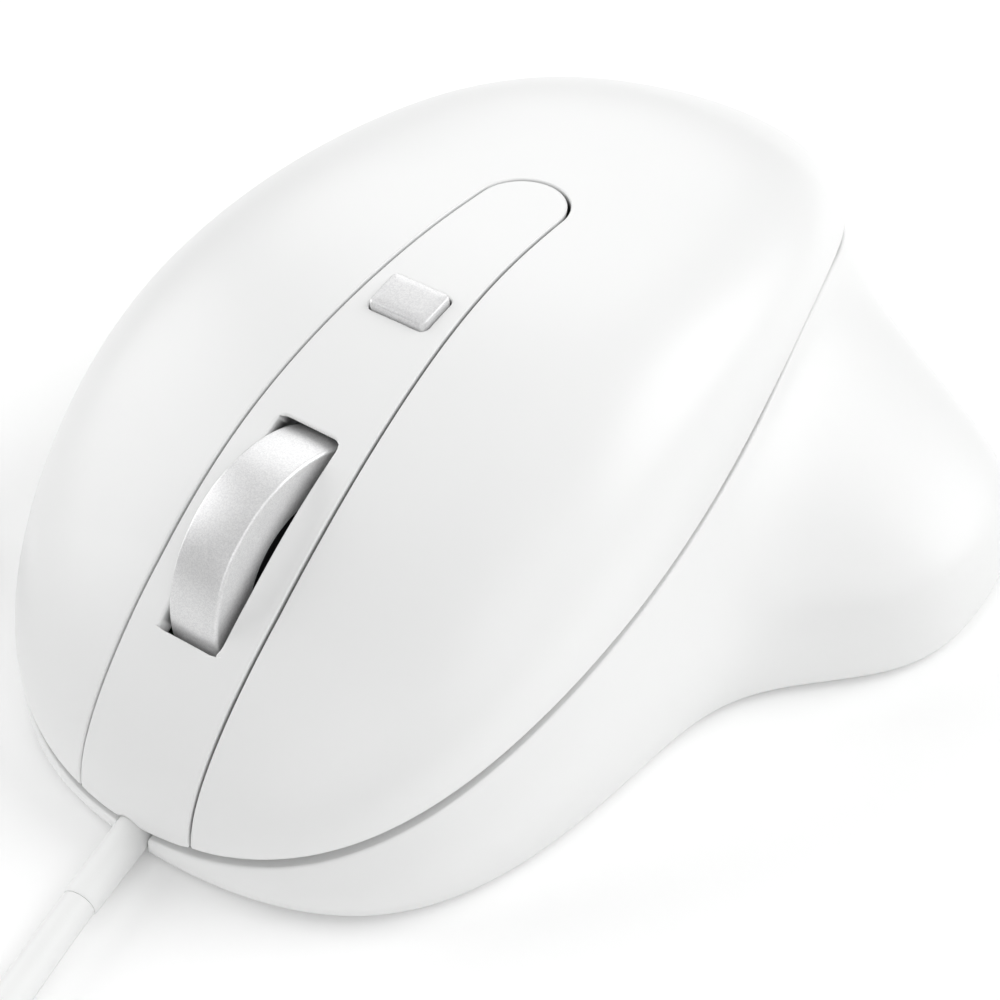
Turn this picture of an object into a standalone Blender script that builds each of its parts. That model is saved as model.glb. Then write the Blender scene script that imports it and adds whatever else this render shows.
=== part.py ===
"""Right-handed wired computer mouse: shells, buttons, scroll wheel, board, optics, feet, cable and plug.

Sizes are in millimetres and are scaled to metres when a mesh is made. -Y is the front, where the
cable leaves, +X is the thumb side and +Z is up. The strip between the buttons lies on X = 0 while
the parts are made, and the last step moves the finished mouse to the centre of its own footprint.
"""
import math

import bmesh
import bpy
import numpy as np
from mathutils import Vector

MM = 0.001

# Cover: the rim is the closed line where the cover meets the lower body
RIM_FRONT, RIM_REAR = 56.9, 59.0          # distances from the strip's datum to the two ends
RIM_THUMB, RIM_FINGER = 32.0, 38.3        # half widths either side of the strip
RIM_WIDEST = -2.9                         # where along Y the rim is widest
RIM_SQUARENESS = 0.30
TAPER_THUMB, TAPER_FINGER = -0.18, -0.12  # share of the half width gained per 60 mm of Y
TAPER_LENGTH = 60.0
RIM_HEIGHTS = (5.6, 15.1, 22.1, 26.8, 16.1)        # at the front, three stations and the rear
RIM_STATIONS = (-30.0, 0.0, 30.0)
RIM_LEAN, RIM_LEVEL_X = 0.093, 19.0       # at the front the rim falls towards the finger side
RIM_LEAN_END = -8.0                       # the lean has faded out here
CROWN_HEIGHTS = (24.5, 34.7, 38.8, 37.7, 35.4)     # top of the cover along the strip's axis
CROWN_STATIONS = (-40.0, -20.0, 0.0, 25.0, 40.0)
CROWN_FULLNESS = 0.39
CROWN_RUNOUT = 0.6                        # how much of the end slope the crown keeps past its stations

# Lower body: its outline on the ground is set out from the rim's
BASE_FRONT, BASE_REAR = RIM_FRONT + 0.1, RIM_REAR + 0.2
BASE_THUMB, BASE_FINGER = RIM_THUMB + 4.1, RIM_FINGER - 7.4
BASE_WIDEST = -11.1
BASE_SQUARENESS = 0.52
SHELF_EDGE = 55.0                         # the thumb shelf's outer edge runs straight at this X
SHELF_START, SHELF_START_SPREAD = 0.5, 9.0
SHELF_END, SHELF_END_SPREAD = 36.0, 6.0
SHELF_SHOULDER = 0.66                     # share of the height at which the shelf is full
SIDE_BULGE, FULL_BULGE_HEIGHT = 1.35, 15.0   # the bulge fades where the wall is lower than this
WALL_FOOT = 1.3                           # the outer wall is upright below this height
WALL_BOTTOM = 0.7
RIM_POINTS = 72                           # points round the rim, the same on the cover and the body

# Walls and fits
COVER_WALL = 2.0
SIDE_WALL = 1.8
GAP = 0.3                                 # clearance between pieces that stay still
SEAM_GAP = 0.36                           # visible seam between cover, buttons and strip
RIM_GAP = 0.25                            # between the lower body and a fully pressed button's edge
SLIDE_GAP = 0.2                           # clearance round the small button
PLATE_GAP = 0.6                           # clearance between the base plate and the wall round it

TALL = 60.0                               # a cutter that reaches this high passes through the cover

# Centre strip
STRIP_HALF_WIDTHS = (7.55, 7.35, 5.67, 5.0)        # front, wheel, small button, start of the tip
STRIP_STATION = -28.0
STRIP_TIP = 14.8

# Buttons
KEY_ROOT = 6.0                            # the buttons bend from the cover along this line
KEY_ROOT_GAP = 0.5
KEY_PRESS_DEG = 0.5
KEY_PIVOT_HEIGHT = 34.0
KEY_POST = 2.6                            # side of the square post that presses the switch

# Scroll wheel
WHEEL_Y, WHEEL_Z = -30.4, 18.9
WHEEL_RADIUS, WHEEL_WIDTH = 14.0, 6.4
RIM_THICKNESS, RIM_EDGE = 5.0, 0.5
HUB_WIDTH = 5.2
AXLE_RADIUS, AXLE_HALF_LENGTH = 1.5, 11.0
SLOT_HALF_WIDTH, SLOT_FRONT, SLOT_REAR, SLOT_CORNER = 4.0, -45.1, -24.7, 1.0
WHEEL_PRESS = 0.6
WHEEL_CLEARANCE = 0.75                    # between the tread and the slot's ends

# Fork that carries the wheel
FORK_ARM_INNER, FORK_ARM_WALL, FORK_ARM_HEIGHT = 4.6, 1.6, 6.0
FORK_BAR_Y, FORK_BAR_DEPTH = -13.2, 2.4
FORK_EYE_RADIUS = 3.3

# Small button behind the wheel
MODE_Y, MODE_LENGTH, MODE_HALF_WIDTH = -8.7, 4.6, 3.67
MODE_RISE, MODE_DEPTH, MODE_CORNER = 0.7, 4.6, 0.6
MODE_STEM_RADIUS = 1.2

# Base plate, feet and screw
PLATE_BOTTOM, PLATE_THICKNESS = 0.9, 1.5
FOOT_THICKNESS = 0.6
FRONT_FOOT = (2.0, -46.5, 26.0, 6.0)      # centre x, centre y, length, width
REAR_FOOT = (4.0, 50.0, 30.0, 7.0)
WINDOW = (0.0, 4.0, 13.0, 9.0)
SCREW_Y = 39.0
SCREW_RADIUS, SCREW_HEAD_RADIUS, SCREW_HEAD_HEIGHT, SCREW_LENGTH = 1.1, 2.4, 1.4, 11.0

# Board and what stands on it
BOARD_BOTTOM, BOARD_THICKNESS = 6.0, 1.2
BOARD_HALF_WIDTH, BOARD_FRONT, BOARD_REAR, BOARD_CORNER = 22.0, -44.0, 24.0, 3.0
SWITCH_X, SWITCH_Y = 16.4, -35.0
SWITCH_SIZE = (5.8, 12.8, 6.5)
PLUNGER_SIZE = (1.2, 2.9)
PLUNGER_RISE, PLUNGER_WELL = 1.0, 2.0
TACT_SIZE, TACT_HEIGHT, TACT_PLUNGER_RADIUS, TACT_RISE = 6.0, 3.4, 1.6, 1.2
SMALL_BOARD_HEIGHT = 22.0
SMALL_BOARD = (18.0, 9.0)
LEG_X = 7.0
HEADER_FRONT = -18.0
CONTACT_GAP = 0.3                         # between a plunger and what presses it

# Cable, sleeve and plug
CABLE_RADIUS = 1.75
SLEEVE_ROOT_RADIUS, SLEEVE_END_RADIUS = 2.05, 1.95
SLEEVE_INSIDE, SLEEVE_REACH = 7.0, 9.0    # lengths inside and outside the front wall
SLEEVE_TURN = math.radians(11.0)          # the cable leaves turned this far towards the thumb side
EXIT_HEIGHT = 2.5
INNER_LEAD_RADIUS = 0.9
COIL_CENTRE = (-25.0, -110.0)
COIL_INNER_TURN, COIL_OUTER_TURN = 11.8, 30.6
COIL_LIFT = 0.6
TOUCHDOWN = 15.0                          # length of cable between the sleeve and the table
COIL_LAYERS = 2
LAYER_PITCH = 3.55
PLUG_BODY = (15.6, 21.0, 7.8)
PLUG_SHELL = (12.0, 14.0, 4.5)
PLUG_NECK_LENGTH = 8.0
PLUG_WALL, PLUG_TONGUE, PLUG_POCKET = 0.35, 1.7, 4.0
PLUG_Y = -82.0                            # where the cable enters the plug's neck

COLOURS = {
    "white_shell": ((0.86, 0.86, 0.85), 0.38, 0.0),
    "satin_silver": ((0.66, 0.66, 0.66), 0.36, 0.85),
    "dark_plastic": ((0.03, 0.03, 0.032), 0.45, 0.0),
    "grey_plastic": ((0.32, 0.33, 0.34), 0.5, 0.0),
    "board_green": ((0.02, 0.17, 0.07), 0.4, 0.0),
    "clear_lens": ((0.9, 0.93, 0.95), 0.05, 0.0),
    "white_cable": ((0.88, 0.88, 0.87), 0.45, 0.0),
    "slip_foot": ((0.82, 0.82, 0.8), 0.5, 0.0),
    "plain_steel": ((0.6, 0.6, 0.61), 0.28, 1.0),
}


# ---------------------------------------------------------------- form of the mouse

def mobius(value, ahead, behind):
    """Map -behind..0..ahead to -1..0..1 without a kink at zero."""
    bend = (1 / behind - 1 / ahead) / 2
    slope = (1 / behind + 1 / ahead) / 2
    return slope * value / (1 + bend * value)


def mobius_inverse(share, ahead, behind):
    bend = (1 / behind - 1 / ahead) / 2
    slope = (1 / behind + 1 / ahead) / 2
    return share / (slope - bend * share)


def squircle_radius(level, squareness, cosine, sine):
    """Polar radius of the squircle u^2 + v^2 - k u^2 v^2 = level^2."""
    m = np.maximum(squareness * cosine**2 * sine**2, 1e-9)
    return np.sqrt((1 - np.sqrt(np.maximum(1 - 4 * m * level**2, 0))) / (2 * m))


def natural_spline(stations, values):
    """Natural cubic spline through (stations, values), as a function of position."""
    x, y = np.asarray(stations, float), np.asarray(values, float)
    h = np.diff(x)
    size = len(x)
    system = np.eye(size)
    right = np.zeros(size)
    for i in range(1, size - 1):
        system[i, i - 1:i + 2] = h[i - 1], 2 * (h[i - 1] + h[i]), h[i]
        right[i] = 6 * ((y[i + 1] - y[i]) / h[i] - (y[i] - y[i - 1]) / h[i - 1])
    moment = np.linalg.solve(system, right)

    def value(at):
        at = np.asarray(at, float)
        i = np.clip(np.searchsorted(x, at) - 1, 0, size - 2)
        left, over = x[i + 1] - at, at - x[i]
        return (moment[i] * left**3 / (6 * h[i]) + moment[i + 1] * over**3 / (6 * h[i])
                + (y[i] / h[i] - moment[i] * h[i] / 6) * left
                + (y[i + 1] / h[i] - moment[i + 1] * h[i] / 6) * over)
    return value


def thumb_width(y):
    return RIM_THUMB * (1 + TAPER_THUMB * y / TAPER_LENGTH)


def finger_width(y):
    return RIM_FINGER * (1 + TAPER_FINGER * y / TAPER_LENGTH)


rim_spline = natural_spline((-RIM_FRONT, *RIM_STATIONS, RIM_REAR), RIM_HEIGHTS)


def smooth_step(share):
    share = np.clip(share, 0, 1)
    return share * share * (3 - 2 * share)


def rim_lean(x, y):
    fade = smooth_step((RIM_LEAN_END - y) / (RIM_LEAN_END + RIM_FRONT))
    return RIM_LEAN * (x - RIM_LEVEL_X) * fade


def rim_height(x, y):
    return rim_spline(np.clip(y, -RIM_FRONT, RIM_REAR)) + rim_lean(x, y)


def rim_plan(level, theta):
    """Plan position on the scaled rim; level 1 is the rim and 0 is the middle of the cover."""
    cosine, sine = np.cos(theta), np.sin(theta)
    q = squircle_radius(level, RIM_SQUARENESS, cosine, sine)
    y = RIM_WIDEST + mobius_inverse(q * sine, RIM_REAR - RIM_WIDEST, RIM_WIDEST + RIM_FRONT)
    x = mobius_inverse(q * cosine, thumb_width(y), finger_width(y))
    return x, y


def cover_level_squared(x, y):
    v = mobius(y - RIM_WIDEST, RIM_REAR - RIM_WIDEST, RIM_WIDEST + RIM_FRONT)
    u = mobius(x, thumb_width(y), finger_width(y))
    return u * u + v * v - RIM_SQUARENESS * u * u * v * v


def dome_share(x, y):
    level = np.clip(cover_level_squared(x, y), 0, 1)
    return np.sqrt(1 - level) * (1 + CROWN_FULLNESS * level)


dome_spline = natural_spline(CROWN_STATIONS, [
    (height - float(rim_spline(y))) / float(dome_share(0.0, y))
    for y, height in zip(CROWN_STATIONS, CROWN_HEIGHTS)])


def dome_height(y):
    """Height of the dome over its rim, running out straight past the first and last station."""
    inside = np.clip(y, CROWN_STATIONS[0], CROWN_STATIONS[-1])
    step = 0.01
    slope = (dome_spline(inside + step) - dome_spline(inside - step)) / (2 * step)
    return dome_spline(inside) + slope * (np.asarray(y) - inside) * CROWN_RUNOUT


def cover_height(x, y):
    """Outer surface of the cover; the rim's lean fades out towards the middle."""
    lean = rim_lean(x, y) * np.clip(cover_level_squared(x, y), 0, 1)
    return rim_spline(np.clip(y, -RIM_FRONT, RIM_REAR)) + lean + dome_height(y) * dome_share(x, y)


def logistic(value):
    return 1 / (1 + np.exp(-value))


def shelf_share(y):
    rise = logistic(2 * (y - SHELF_START) / SHELF_START_SPREAD)
    return rise * logistic(2 * (SHELF_END - y) / SHELF_END_SPREAD)


def base_plan(theta):
    """Outline of the lower body where it meets the ground, with the thumb shelf."""
    cosine, sine = np.cos(theta), np.sin(theta)
    q = squircle_radius(1.0, BASE_SQUARENESS, cosine, sine)
    y = BASE_WIDEST + mobius_inverse(q * sine, BASE_REAR - BASE_WIDEST, BASE_WIDEST + BASE_FRONT)
    x = mobius_inverse(q * cosine, BASE_THUMB, BASE_FINGER)
    shelf = np.sqrt(np.clip(cosine, 0, 1)) * shelf_share(y)
    return x + (SHELF_EDGE - x) * shelf, y, shelf


def key_drop(y):
    """How far a button's edge goes down at this place when the button is pressed."""
    return np.maximum(KEY_ROOT - y, 0) * math.tan(math.radians(KEY_PRESS_DEG))


def side_point(theta, share):
    """Outer surface of the lower body, from under the cover's rim (0) to the wall's foot (1)."""
    x_rim, y_rim = rim_plan(1.0, theta)
    x_base, y_base, shelf = base_plan(theta)
    z_top = rim_height(x_rim, y_rim) - RIM_GAP - key_drop(y_rim)
    z = z_top * (1 - share) + WALL_FOOT * share
    swell = np.clip(share / SHELF_SHOULDER, 0, 1)
    plain = np.sin(math.pi / 2 * share)
    out = plain * (1 - shelf) + swell * swell * (3 - 2 * swell) * shelf
    tallness = np.clip((z_top - WALL_FOOT) / FULL_BULGE_HEIGHT, 0, 1)
    bulge = SIDE_BULGE * tallness * np.sin(math.pi * share) * (1 - shelf)
    x = x_rim * (1 - out) + x_base * out + bulge * np.cos(theta)
    y = y_rim * (1 - out) + y_base * out + bulge * np.sin(theta)
    return np.stack([x, y, z], -1)


def strip_half_width(y):
    tip_radius = STRIP_HALF_WIDTHS[3]
    round_start = STRIP_TIP - tip_radius
    stations = (-RIM_FRONT, STRIP_STATION, (round_start + STRIP_STATION) / 2 + 4.0, round_start)
    width = natural_spline(stations, STRIP_HALF_WIDTHS)(np.minimum(y, round_start))
    over = np.clip((y - round_start) / tip_radius, 0, 1)
    return width * np.sqrt(np.maximum(1 - over**2, 0))


# ---------------------------------------------------------------- mesh helpers

def clear_scene():
    for item in list(bpy.data.objects):
        bpy.data.objects.remove(item, do_unlink=True)


def material(slot):
    if slot not in bpy.data.materials:
        colour, roughness, metallic = COLOURS[slot]
        made = bpy.data.materials.new(slot)
        made.use_nodes = True
        shader = made.node_tree.nodes["Principled BSDF"]
        shader.inputs["Base Color"].default_value = (*colour, 1)
        shader.inputs["Roughness"].default_value = roughness
        shader.inputs["Metallic"].default_value = metallic
    return bpy.data.materials[slot]


def make(name, points, faces, slot=None, angle=35, outward=True):
    """An object from millimetre points; without a slot it is a tool for a Boolean."""
    mesh = bpy.data.meshes.new(name)
    mesh.from_pydata([tuple(MM * c for c in p) for p in points], [], [tuple(f) for f in faces])
    if outward:
        form = bmesh.new()
        form.from_mesh(mesh)
        bmesh.ops.recalc_face_normals(form, faces=form.faces)
        form.to_mesh(mesh)
        form.free()
    mesh.shade_smooth()
    mesh.set_sharp_from_angle(angle=math.radians(angle))
    made = bpy.data.objects.new(name, mesh)
    bpy.context.scene.collection.objects.link(made)
    if slot:
        mesh.materials.append(material(slot))
    else:
        made.hide_render = True
        made.display_type = "WIRE"
    return made


def apply_modifiers(target):
    bpy.context.view_layer.update()
    graph = bpy.context.evaluated_depsgraph_get()
    baked = bpy.data.meshes.new_from_object(target.evaluated_get(graph), depsgraph=graph)
    target.modifiers.clear()
    target.data = baked
    return target


def combine(target, tool, operation):
    """Boolean of target and tool (UNION, DIFFERENCE or INTERSECT); the tool is used up."""
    modifier = target.modifiers.new(operation.lower(), "BOOLEAN")
    modifier.operation = operation
    modifier.solver = "EXACT"
    modifier.object = tool
    apply_modifiers(target)
    bpy.data.objects.remove(tool, do_unlink=True)
    return target


def ring_faces(count, first, second):
    return [(first + i, first + (i + 1) % count, second + (i + 1) % count, second + i)
            for i in range(count)]


def loft(name, rings, slot=None, angle=35, tips=None):
    """A closed solid through rings of equal count, with flat ends or with a point at each end."""
    count = len(rings[0])
    points = [p for ring in rings for p in ring]
    last = (len(rings) - 1) * count
    faces = []
    for i in range(len(rings) - 1):
        faces += ring_faces(count, i * count, (i + 1) * count)
    if tips is None:
        faces += [range(count - 1, -1, -1), range(last, last + count)]
    else:
        points += list(tips)
        faces += [((i + 1) % count, i, len(points) - 2) for i in range(count)]
        faces += [(last + i, last + (i + 1) % count, len(points) - 1) for i in range(count)]
    return make(name, points, faces, slot, angle)


def prism(name, outline, bottom, top, slot=None, angle=35):
    return loft(name, [[(x, y, bottom) for x, y in outline], [(x, y, top) for x, y in outline]],
                slot, angle)


def block(name, low, high, slot=None):
    return prism(name, [(low[0], low[1]), (high[0], low[1]), (high[0], high[1]), (low[0], high[1])],
                 low[2], high[2], slot)


def rounded_outline(centre_x, centre_y, size_x, size_y, radius, steps=5):
    """Counter-clockwise rounded rectangle."""
    outline = []
    for corner, (sx, sy) in enumerate(((1, 1), (-1, 1), (-1, -1), (1, -1))):
        for step in range(steps + 1):
            turn = math.radians(90 * (corner + step / steps))
            outline.append((centre_x + sx * (size_x / 2 - radius) + radius * math.cos(turn),
                            centre_y + sy * (size_y / 2 - radius) + radius * math.sin(turn)))
    return outline


def wrap(name, rings, slot=None, angle=35):
    """A closed solid whose last ring joins its first, so that its middle stays open."""
    count = len(rings[0])
    points = [p for ring in rings for p in ring]
    faces = []
    for i in range(len(rings)):
        faces += ring_faces(count, i * count, (i + 1) % len(rings) * count)
    return make(name, points, faces, slot, angle)


def turned(profile, centre, axis, sides):
    """Rings about an axis, one for each (radius, distance along the axis)."""
    along = Vector(axis).normalized()
    across = along.orthogonal().normalized()
    third = along.cross(across)
    rings = []
    for radius, travel in profile:
        rings.append([Vector(centre) + along * travel
                      + (across * math.cos(2 * math.pi * k / sides)
                         + third * math.sin(2 * math.pi * k / sides)) * radius
                      for k in range(sides)])
    return rings


def shaft(name, profile, centre, axis, slot=None, sides=32, angle=35):
    """A turned solid that is closed by a flat face at each end."""
    return loft(name, turned(profile, centre, axis, sides), slot, angle)


def hoop(name, section, centre, axis, slot=None, sides=48, angle=35):
    """A turned ring with an open middle; section is a closed loop of (radius, distance)."""
    return wrap(name, turned(section, centre, axis, sides), slot, angle)


def inset_outline(outline, distance):
    """Move each point of a counter-clockwise outline inwards along its normal."""
    points = np.asarray(outline, float)
    tangent = np.roll(points, -1, 0) - np.roll(points, 1, 0)
    tangent /= np.linalg.norm(tangent, axis=1)[:, None]
    return points + distance * np.stack([-tangent[:, 1], tangent[:, 0]], -1)


def rim_angles():
    """Angles round the rim that space the points evenly along the rim and the base together."""
    fine = np.linspace(0, 2 * math.pi, 1441)
    x_base, y_base, _ = base_plan(fine)
    x_rim, y_rim = rim_plan(1.0, fine)
    steps = np.hypot(np.diff(x_base), np.diff(y_base)) + np.hypot(np.diff(x_rim), np.diff(y_rim))
    travel = np.concatenate([[0], np.cumsum(steps)])
    return np.interp(np.linspace(0, travel[-1], RIM_POINTS, endpoint=False), travel, fine)


# ---------------------------------------------------------------- cover, buttons and strip

def cover_normal(x, y):
    """Unit normals of the cover's outer surface away from its rim."""
    step = 0.02
    slope_x = (cover_height(x + step, y) - cover_height(x - step, y)) / (2 * step)
    slope_y = (cover_height(x, y + step) - cover_height(x, y - step)) / (2 * step)
    normal = np.stack([-slope_x, -slope_y, np.ones_like(slope_x)], -1)
    return normal / np.linalg.norm(normal, axis=-1)[..., None]


def cover_shell(name, slot):
    """The whole domed shell of even wall before it is cut into cover, buttons and strip."""
    theta = rim_angles()
    x, y = rim_plan(1.0, theta)
    rim = np.stack([x, y, rim_height(x, y)], -1)
    inner_rim = np.column_stack([inset_outline(rim[:, :2], COVER_WALL), rim[:, 2]])
    outer, inner = [rim], [inner_rim]
    for level in np.sin(np.linspace(math.pi / 2, 0.12, 11))[1:]:
        x, y = rim_plan(level, theta)
        ring = np.stack([x, y, cover_height(x, y)], -1)
        outer.append(ring)
        inner.append(ring - COVER_WALL * cover_normal(x, y))
    crown = np.array([0.0, RIM_WIDEST, float(cover_height(0.0, RIM_WIDEST))])
    return loft(name, inner[::-1] + outer, slot, tips=(crown - [0, 0, COVER_WALL], crown))


def strip_outline(margin):
    """The strip's outline in plan, grown by a margin, and open-ended past the front."""
    tip_radius = STRIP_HALF_WIDTHS[3]
    straight = np.linspace(-RIM_FRONT - 6, STRIP_TIP - tip_radius, 14)
    side = [(float(strip_half_width(max(y, -RIM_FRONT))) + margin, y) for y in straight]
    turn = [math.radians(a) for a in range(15, 90, 15)]
    tip = [((tip_radius + margin) * math.cos(t),
            STRIP_TIP - tip_radius + (tip_radius + margin) * math.sin(t)) for t in turn]
    half = side + tip
    return half + [(0, STRIP_TIP + margin)] + [(-x, y) for x, y in reversed(half)]


def key_region(side, margin):
    """Plan region of one button: outside the strip and ahead of the root line."""
    reach = RIM_FINGER + RIM_THUMB
    front = -RIM_FRONT - 10
    inner = [(side * (float(strip_half_width(max(y, -RIM_FRONT))) + SEAM_GAP), y)
             for y in np.linspace(-RIM_FRONT - 6, KEY_ROOT - margin, 12)]
    outline = [(inner[0][0], front)] + inner + [(side * reach, KEY_ROOT - margin), (side * reach, front)]
    return outline if side < 0 else outline[::-1]


def build_key(name, side):
    """One main button, with the post that presses its switch."""
    key = cover_shell(name, "white_shell")
    combine(key, prism("key_region", key_region(side, KEY_ROOT_GAP / 2), -5, TALL), "INTERSECT")
    x, y, half = side * SWITCH_X, SWITCH_Y, KEY_POST / 2
    corners = [(x - half, y - half), (x + half, y - half), (x + half, y + half), (x - half, y + half)]
    bottom = [(cx, cy, switch_top() + PLUNGER_RISE + CONTACT_GAP) for cx, cy in corners]
    top = [(cx, cy, float(cover_height(cx, cy)) - COVER_WALL / 2) for cx, cy in corners]
    return combine(key, loft("post", [bottom, top]), "UNION")


def build_palm_cover():
    cover = cover_shell("palm_cover", "white_shell")
    combine(cover, prism("strip_gap", strip_outline(SEAM_GAP), -5, TALL), "DIFFERENCE")
    reach = RIM_FINGER + RIM_THUMB
    front = block("front", (-reach, -RIM_FRONT - 10, -5), (reach, KEY_ROOT + KEY_ROOT_GAP / 2, TALL))
    combine(cover, front, "DIFFERENCE")
    boss_top = float(cover_height(0, SCREW_Y)) - 0.8 * COVER_WALL
    boss_bottom = PLATE_BOTTOM + PLATE_THICKNESS + 2.0 + GAP
    boss = shaft("boss", [(3.2, boss_bottom), (3.2, boss_top)], (0, SCREW_Y, 0), (0, 0, 1), sides=20)
    combine(cover, boss, "UNION")
    pilot = shaft("pilot", [(SCREW_RADIUS + GAP, boss_bottom - 1), (SCREW_RADIUS + GAP, boss_bottom + 14)],
                  (0, SCREW_Y, 0), (0, 0, 1), sides=16)
    return combine(cover, pilot, "DIFFERENCE")


def build_strip():
    strip = cover_shell("center_strip", "white_shell")
    combine(strip, prism("strip_region", strip_outline(0.0), -5, TALL), "INTERSECT")
    slot = rounded_outline(0, (SLOT_FRONT + SLOT_REAR) / 2, 2 * SLOT_HALF_WIDTH,
                           SLOT_REAR - SLOT_FRONT, SLOT_CORNER)
    combine(strip, prism("slot", slot, -5, TALL), "DIFFERENCE")
    hole = rounded_outline(0, MODE_Y, 2 * (MODE_HALF_WIDTH + SLIDE_GAP), MODE_LENGTH + 2 * SLIDE_GAP,
                           MODE_CORNER + SLIDE_GAP)
    combine(strip, prism("hole", hole, -5, TALL), "DIFFERENCE")
    radius, half = WHEEL_RADIUS + WHEEL_CLEARANCE, SLOT_HALF_WIDTH - 0.1
    arch = shaft("wheel_arch", [(radius, -half), (radius, half)], (0, WHEEL_Y, WHEEL_Z), (1, 0, 0), sides=64)
    combine(strip, arch, "DIFFERENCE")
    return combine(strip, sleeve_clearance(), "DIFFERENCE")


def sleeve_axis():
    return np.array([math.sin(SLEEVE_TURN), -math.cos(SLEEVE_TURN), 0.0])


def sleeve_point(reach):
    """Point on the sleeve's axis at a distance outside the front wall."""
    return np.array([0.0, -BASE_FRONT, EXIT_HEIGHT]) + reach * sleeve_axis()


def sleeve_clearance():
    """Space for the cable's sleeve through the front edge."""
    radius = SLEEVE_ROOT_RADIUS + GAP
    return shaft("sleeve_hole", [(radius, -SLEEVE_INSIDE - 1), (radius, SLEEVE_INSIDE + 1)],
                 sleeve_point(0), sleeve_axis(), sides=20)


# ---------------------------------------------------------------- lower body, base plate and feet

def build_side_body():
    """The wall between the cover's rim and the base plate, open at the top and the bottom."""
    theta = rim_angles()
    outer = [side_point(theta, share) for share in np.linspace(0, 1, 10)]
    foot = outer[-1].copy()
    foot[:, 2] = WALL_BOTTOM
    outer.append(foot)
    inner = []
    for ring in reversed(outer):
        x, y = inset_outline(ring[:, :2], SIDE_WALL).T
        inner.append(np.stack([x, y, ring[:, 2]], -1))
    body = wrap("side_body", outer + inner, "white_shell")
    combine(body, sleeve_clearance(), "DIFFERENCE")
    across = (SLEEVE_ROOT_RADIUS + GAP) * np.array([math.cos(SLEEVE_TURN), math.sin(SLEEVE_TURN), 0.0])
    reach = SLEEVE_INSIDE + 1
    corners = [sleeve_point(reach) - across, sleeve_point(reach) + across,
               sleeve_point(-reach) + across, sleeve_point(-reach) - across]
    notch = prism("notch", [corner[:2] for corner in corners], EXIT_HEIGHT, 20)
    return combine(body, notch, "DIFFERENCE")


def plate_outline():
    """Outline clear of the wall over the whole height of the base plate."""
    theta = rim_angles()
    z_top = side_point(theta, 0.0)[:, 2]
    share = np.clip((z_top - PLATE_BOTTOM - PLATE_THICKNESS) / (z_top - WALL_FOOT), 0, 1)
    rings = [inset_outline(side_point(theta, at)[:, :2], SIDE_WALL) for at in (1.0, share)]
    lower = np.linalg.norm(rings[0], axis=1) < np.linalg.norm(rings[1], axis=1)
    return inset_outline(np.where(lower[:, None], rings[0], rings[1]), PLATE_GAP)


def build_base_plate():
    outline = plate_outline()
    top = PLATE_BOTTOM + PLATE_THICKNESS
    plate = prism("base_plate", outline, PLATE_BOTTOM, top, "white_shell")
    pad = shaft("pad", [(4.2, PLATE_BOTTOM + 0.2), (4.2, top + 2.0)], (0, SCREW_Y, 0), (0, 0, 1), sides=24)
    combine(plate, pad, "UNION")
    bore = [(SCREW_HEAD_RADIUS + GAP, 0), (SCREW_HEAD_RADIUS + GAP, PLATE_BOTTOM + SCREW_HEAD_HEIGHT + GAP),
            (SCREW_RADIUS + GAP, PLATE_BOTTOM + SCREW_HEAD_HEIGHT + GAP), (SCREW_RADIUS + GAP, 20)]
    combine(plate, shaft("bore", bore, (0, SCREW_Y, 0), (0, 0, 1), sides=24), "DIFFERENCE")
    window = rounded_outline(*WINDOW, 2.0)
    combine(plate, prism("window", window, -1, 20), "DIFFERENCE")
    for cx, cy, half_x, half_y in board_posts():
        post = block("post", (cx - half_x, cy - half_y, PLATE_BOTTOM + 0.2),
                     (cx + half_x, cy + half_y, BOARD_BOTTOM - GAP))
        combine(plate, post, "UNION")
    return combine(plate, sleeve_clearance(), "DIFFERENCE")


def board_posts():
    """Short posts on the base plate under the board's corners: centre and half sizes."""
    inset = 4.2
    return [(side * (BOARD_HALF_WIDTH - inset), y, 1.5, 1.5)
            for side in (-1, 1) for y in (BOARD_FRONT + inset + 2, BOARD_REAR - inset)]


def build_feet():
    for name, (cx, cy, length, width) in (("front_foot", FRONT_FOOT), ("rear_foot", REAR_FOOT)):
        prism(name, rounded_outline(cx, cy, length, width, width / 2 - 0.1), 0, FOOT_THICKNESS, "slip_foot")


def build_screw():
    start = PLATE_BOTTOM + 0.1
    head = start + SCREW_HEAD_HEIGHT
    profile = [(SCREW_HEAD_RADIUS - 0.4, start), (SCREW_HEAD_RADIUS, start + 0.4),
               (SCREW_HEAD_RADIUS, head), (SCREW_RADIUS, head),
               (SCREW_RADIUS, head + SCREW_LENGTH - 1), (0.3, head + SCREW_LENGTH)]
    screw = shaft("case_screw", profile, (0, SCREW_Y, 0), (0, 0, 1), "plain_steel", sides=20)
    for low, high in (((-1.5, -0.3), (1.5, 0.3)), ((-0.3, -1.5), (0.3, 1.5))):
        cross = block("cross", (low[0], SCREW_Y + low[1], start - 1), (high[0], SCREW_Y + high[1], start + 0.8))
        combine(screw, cross, "DIFFERENCE")
    return screw


# ---------------------------------------------------------------- scroll wheel

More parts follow.
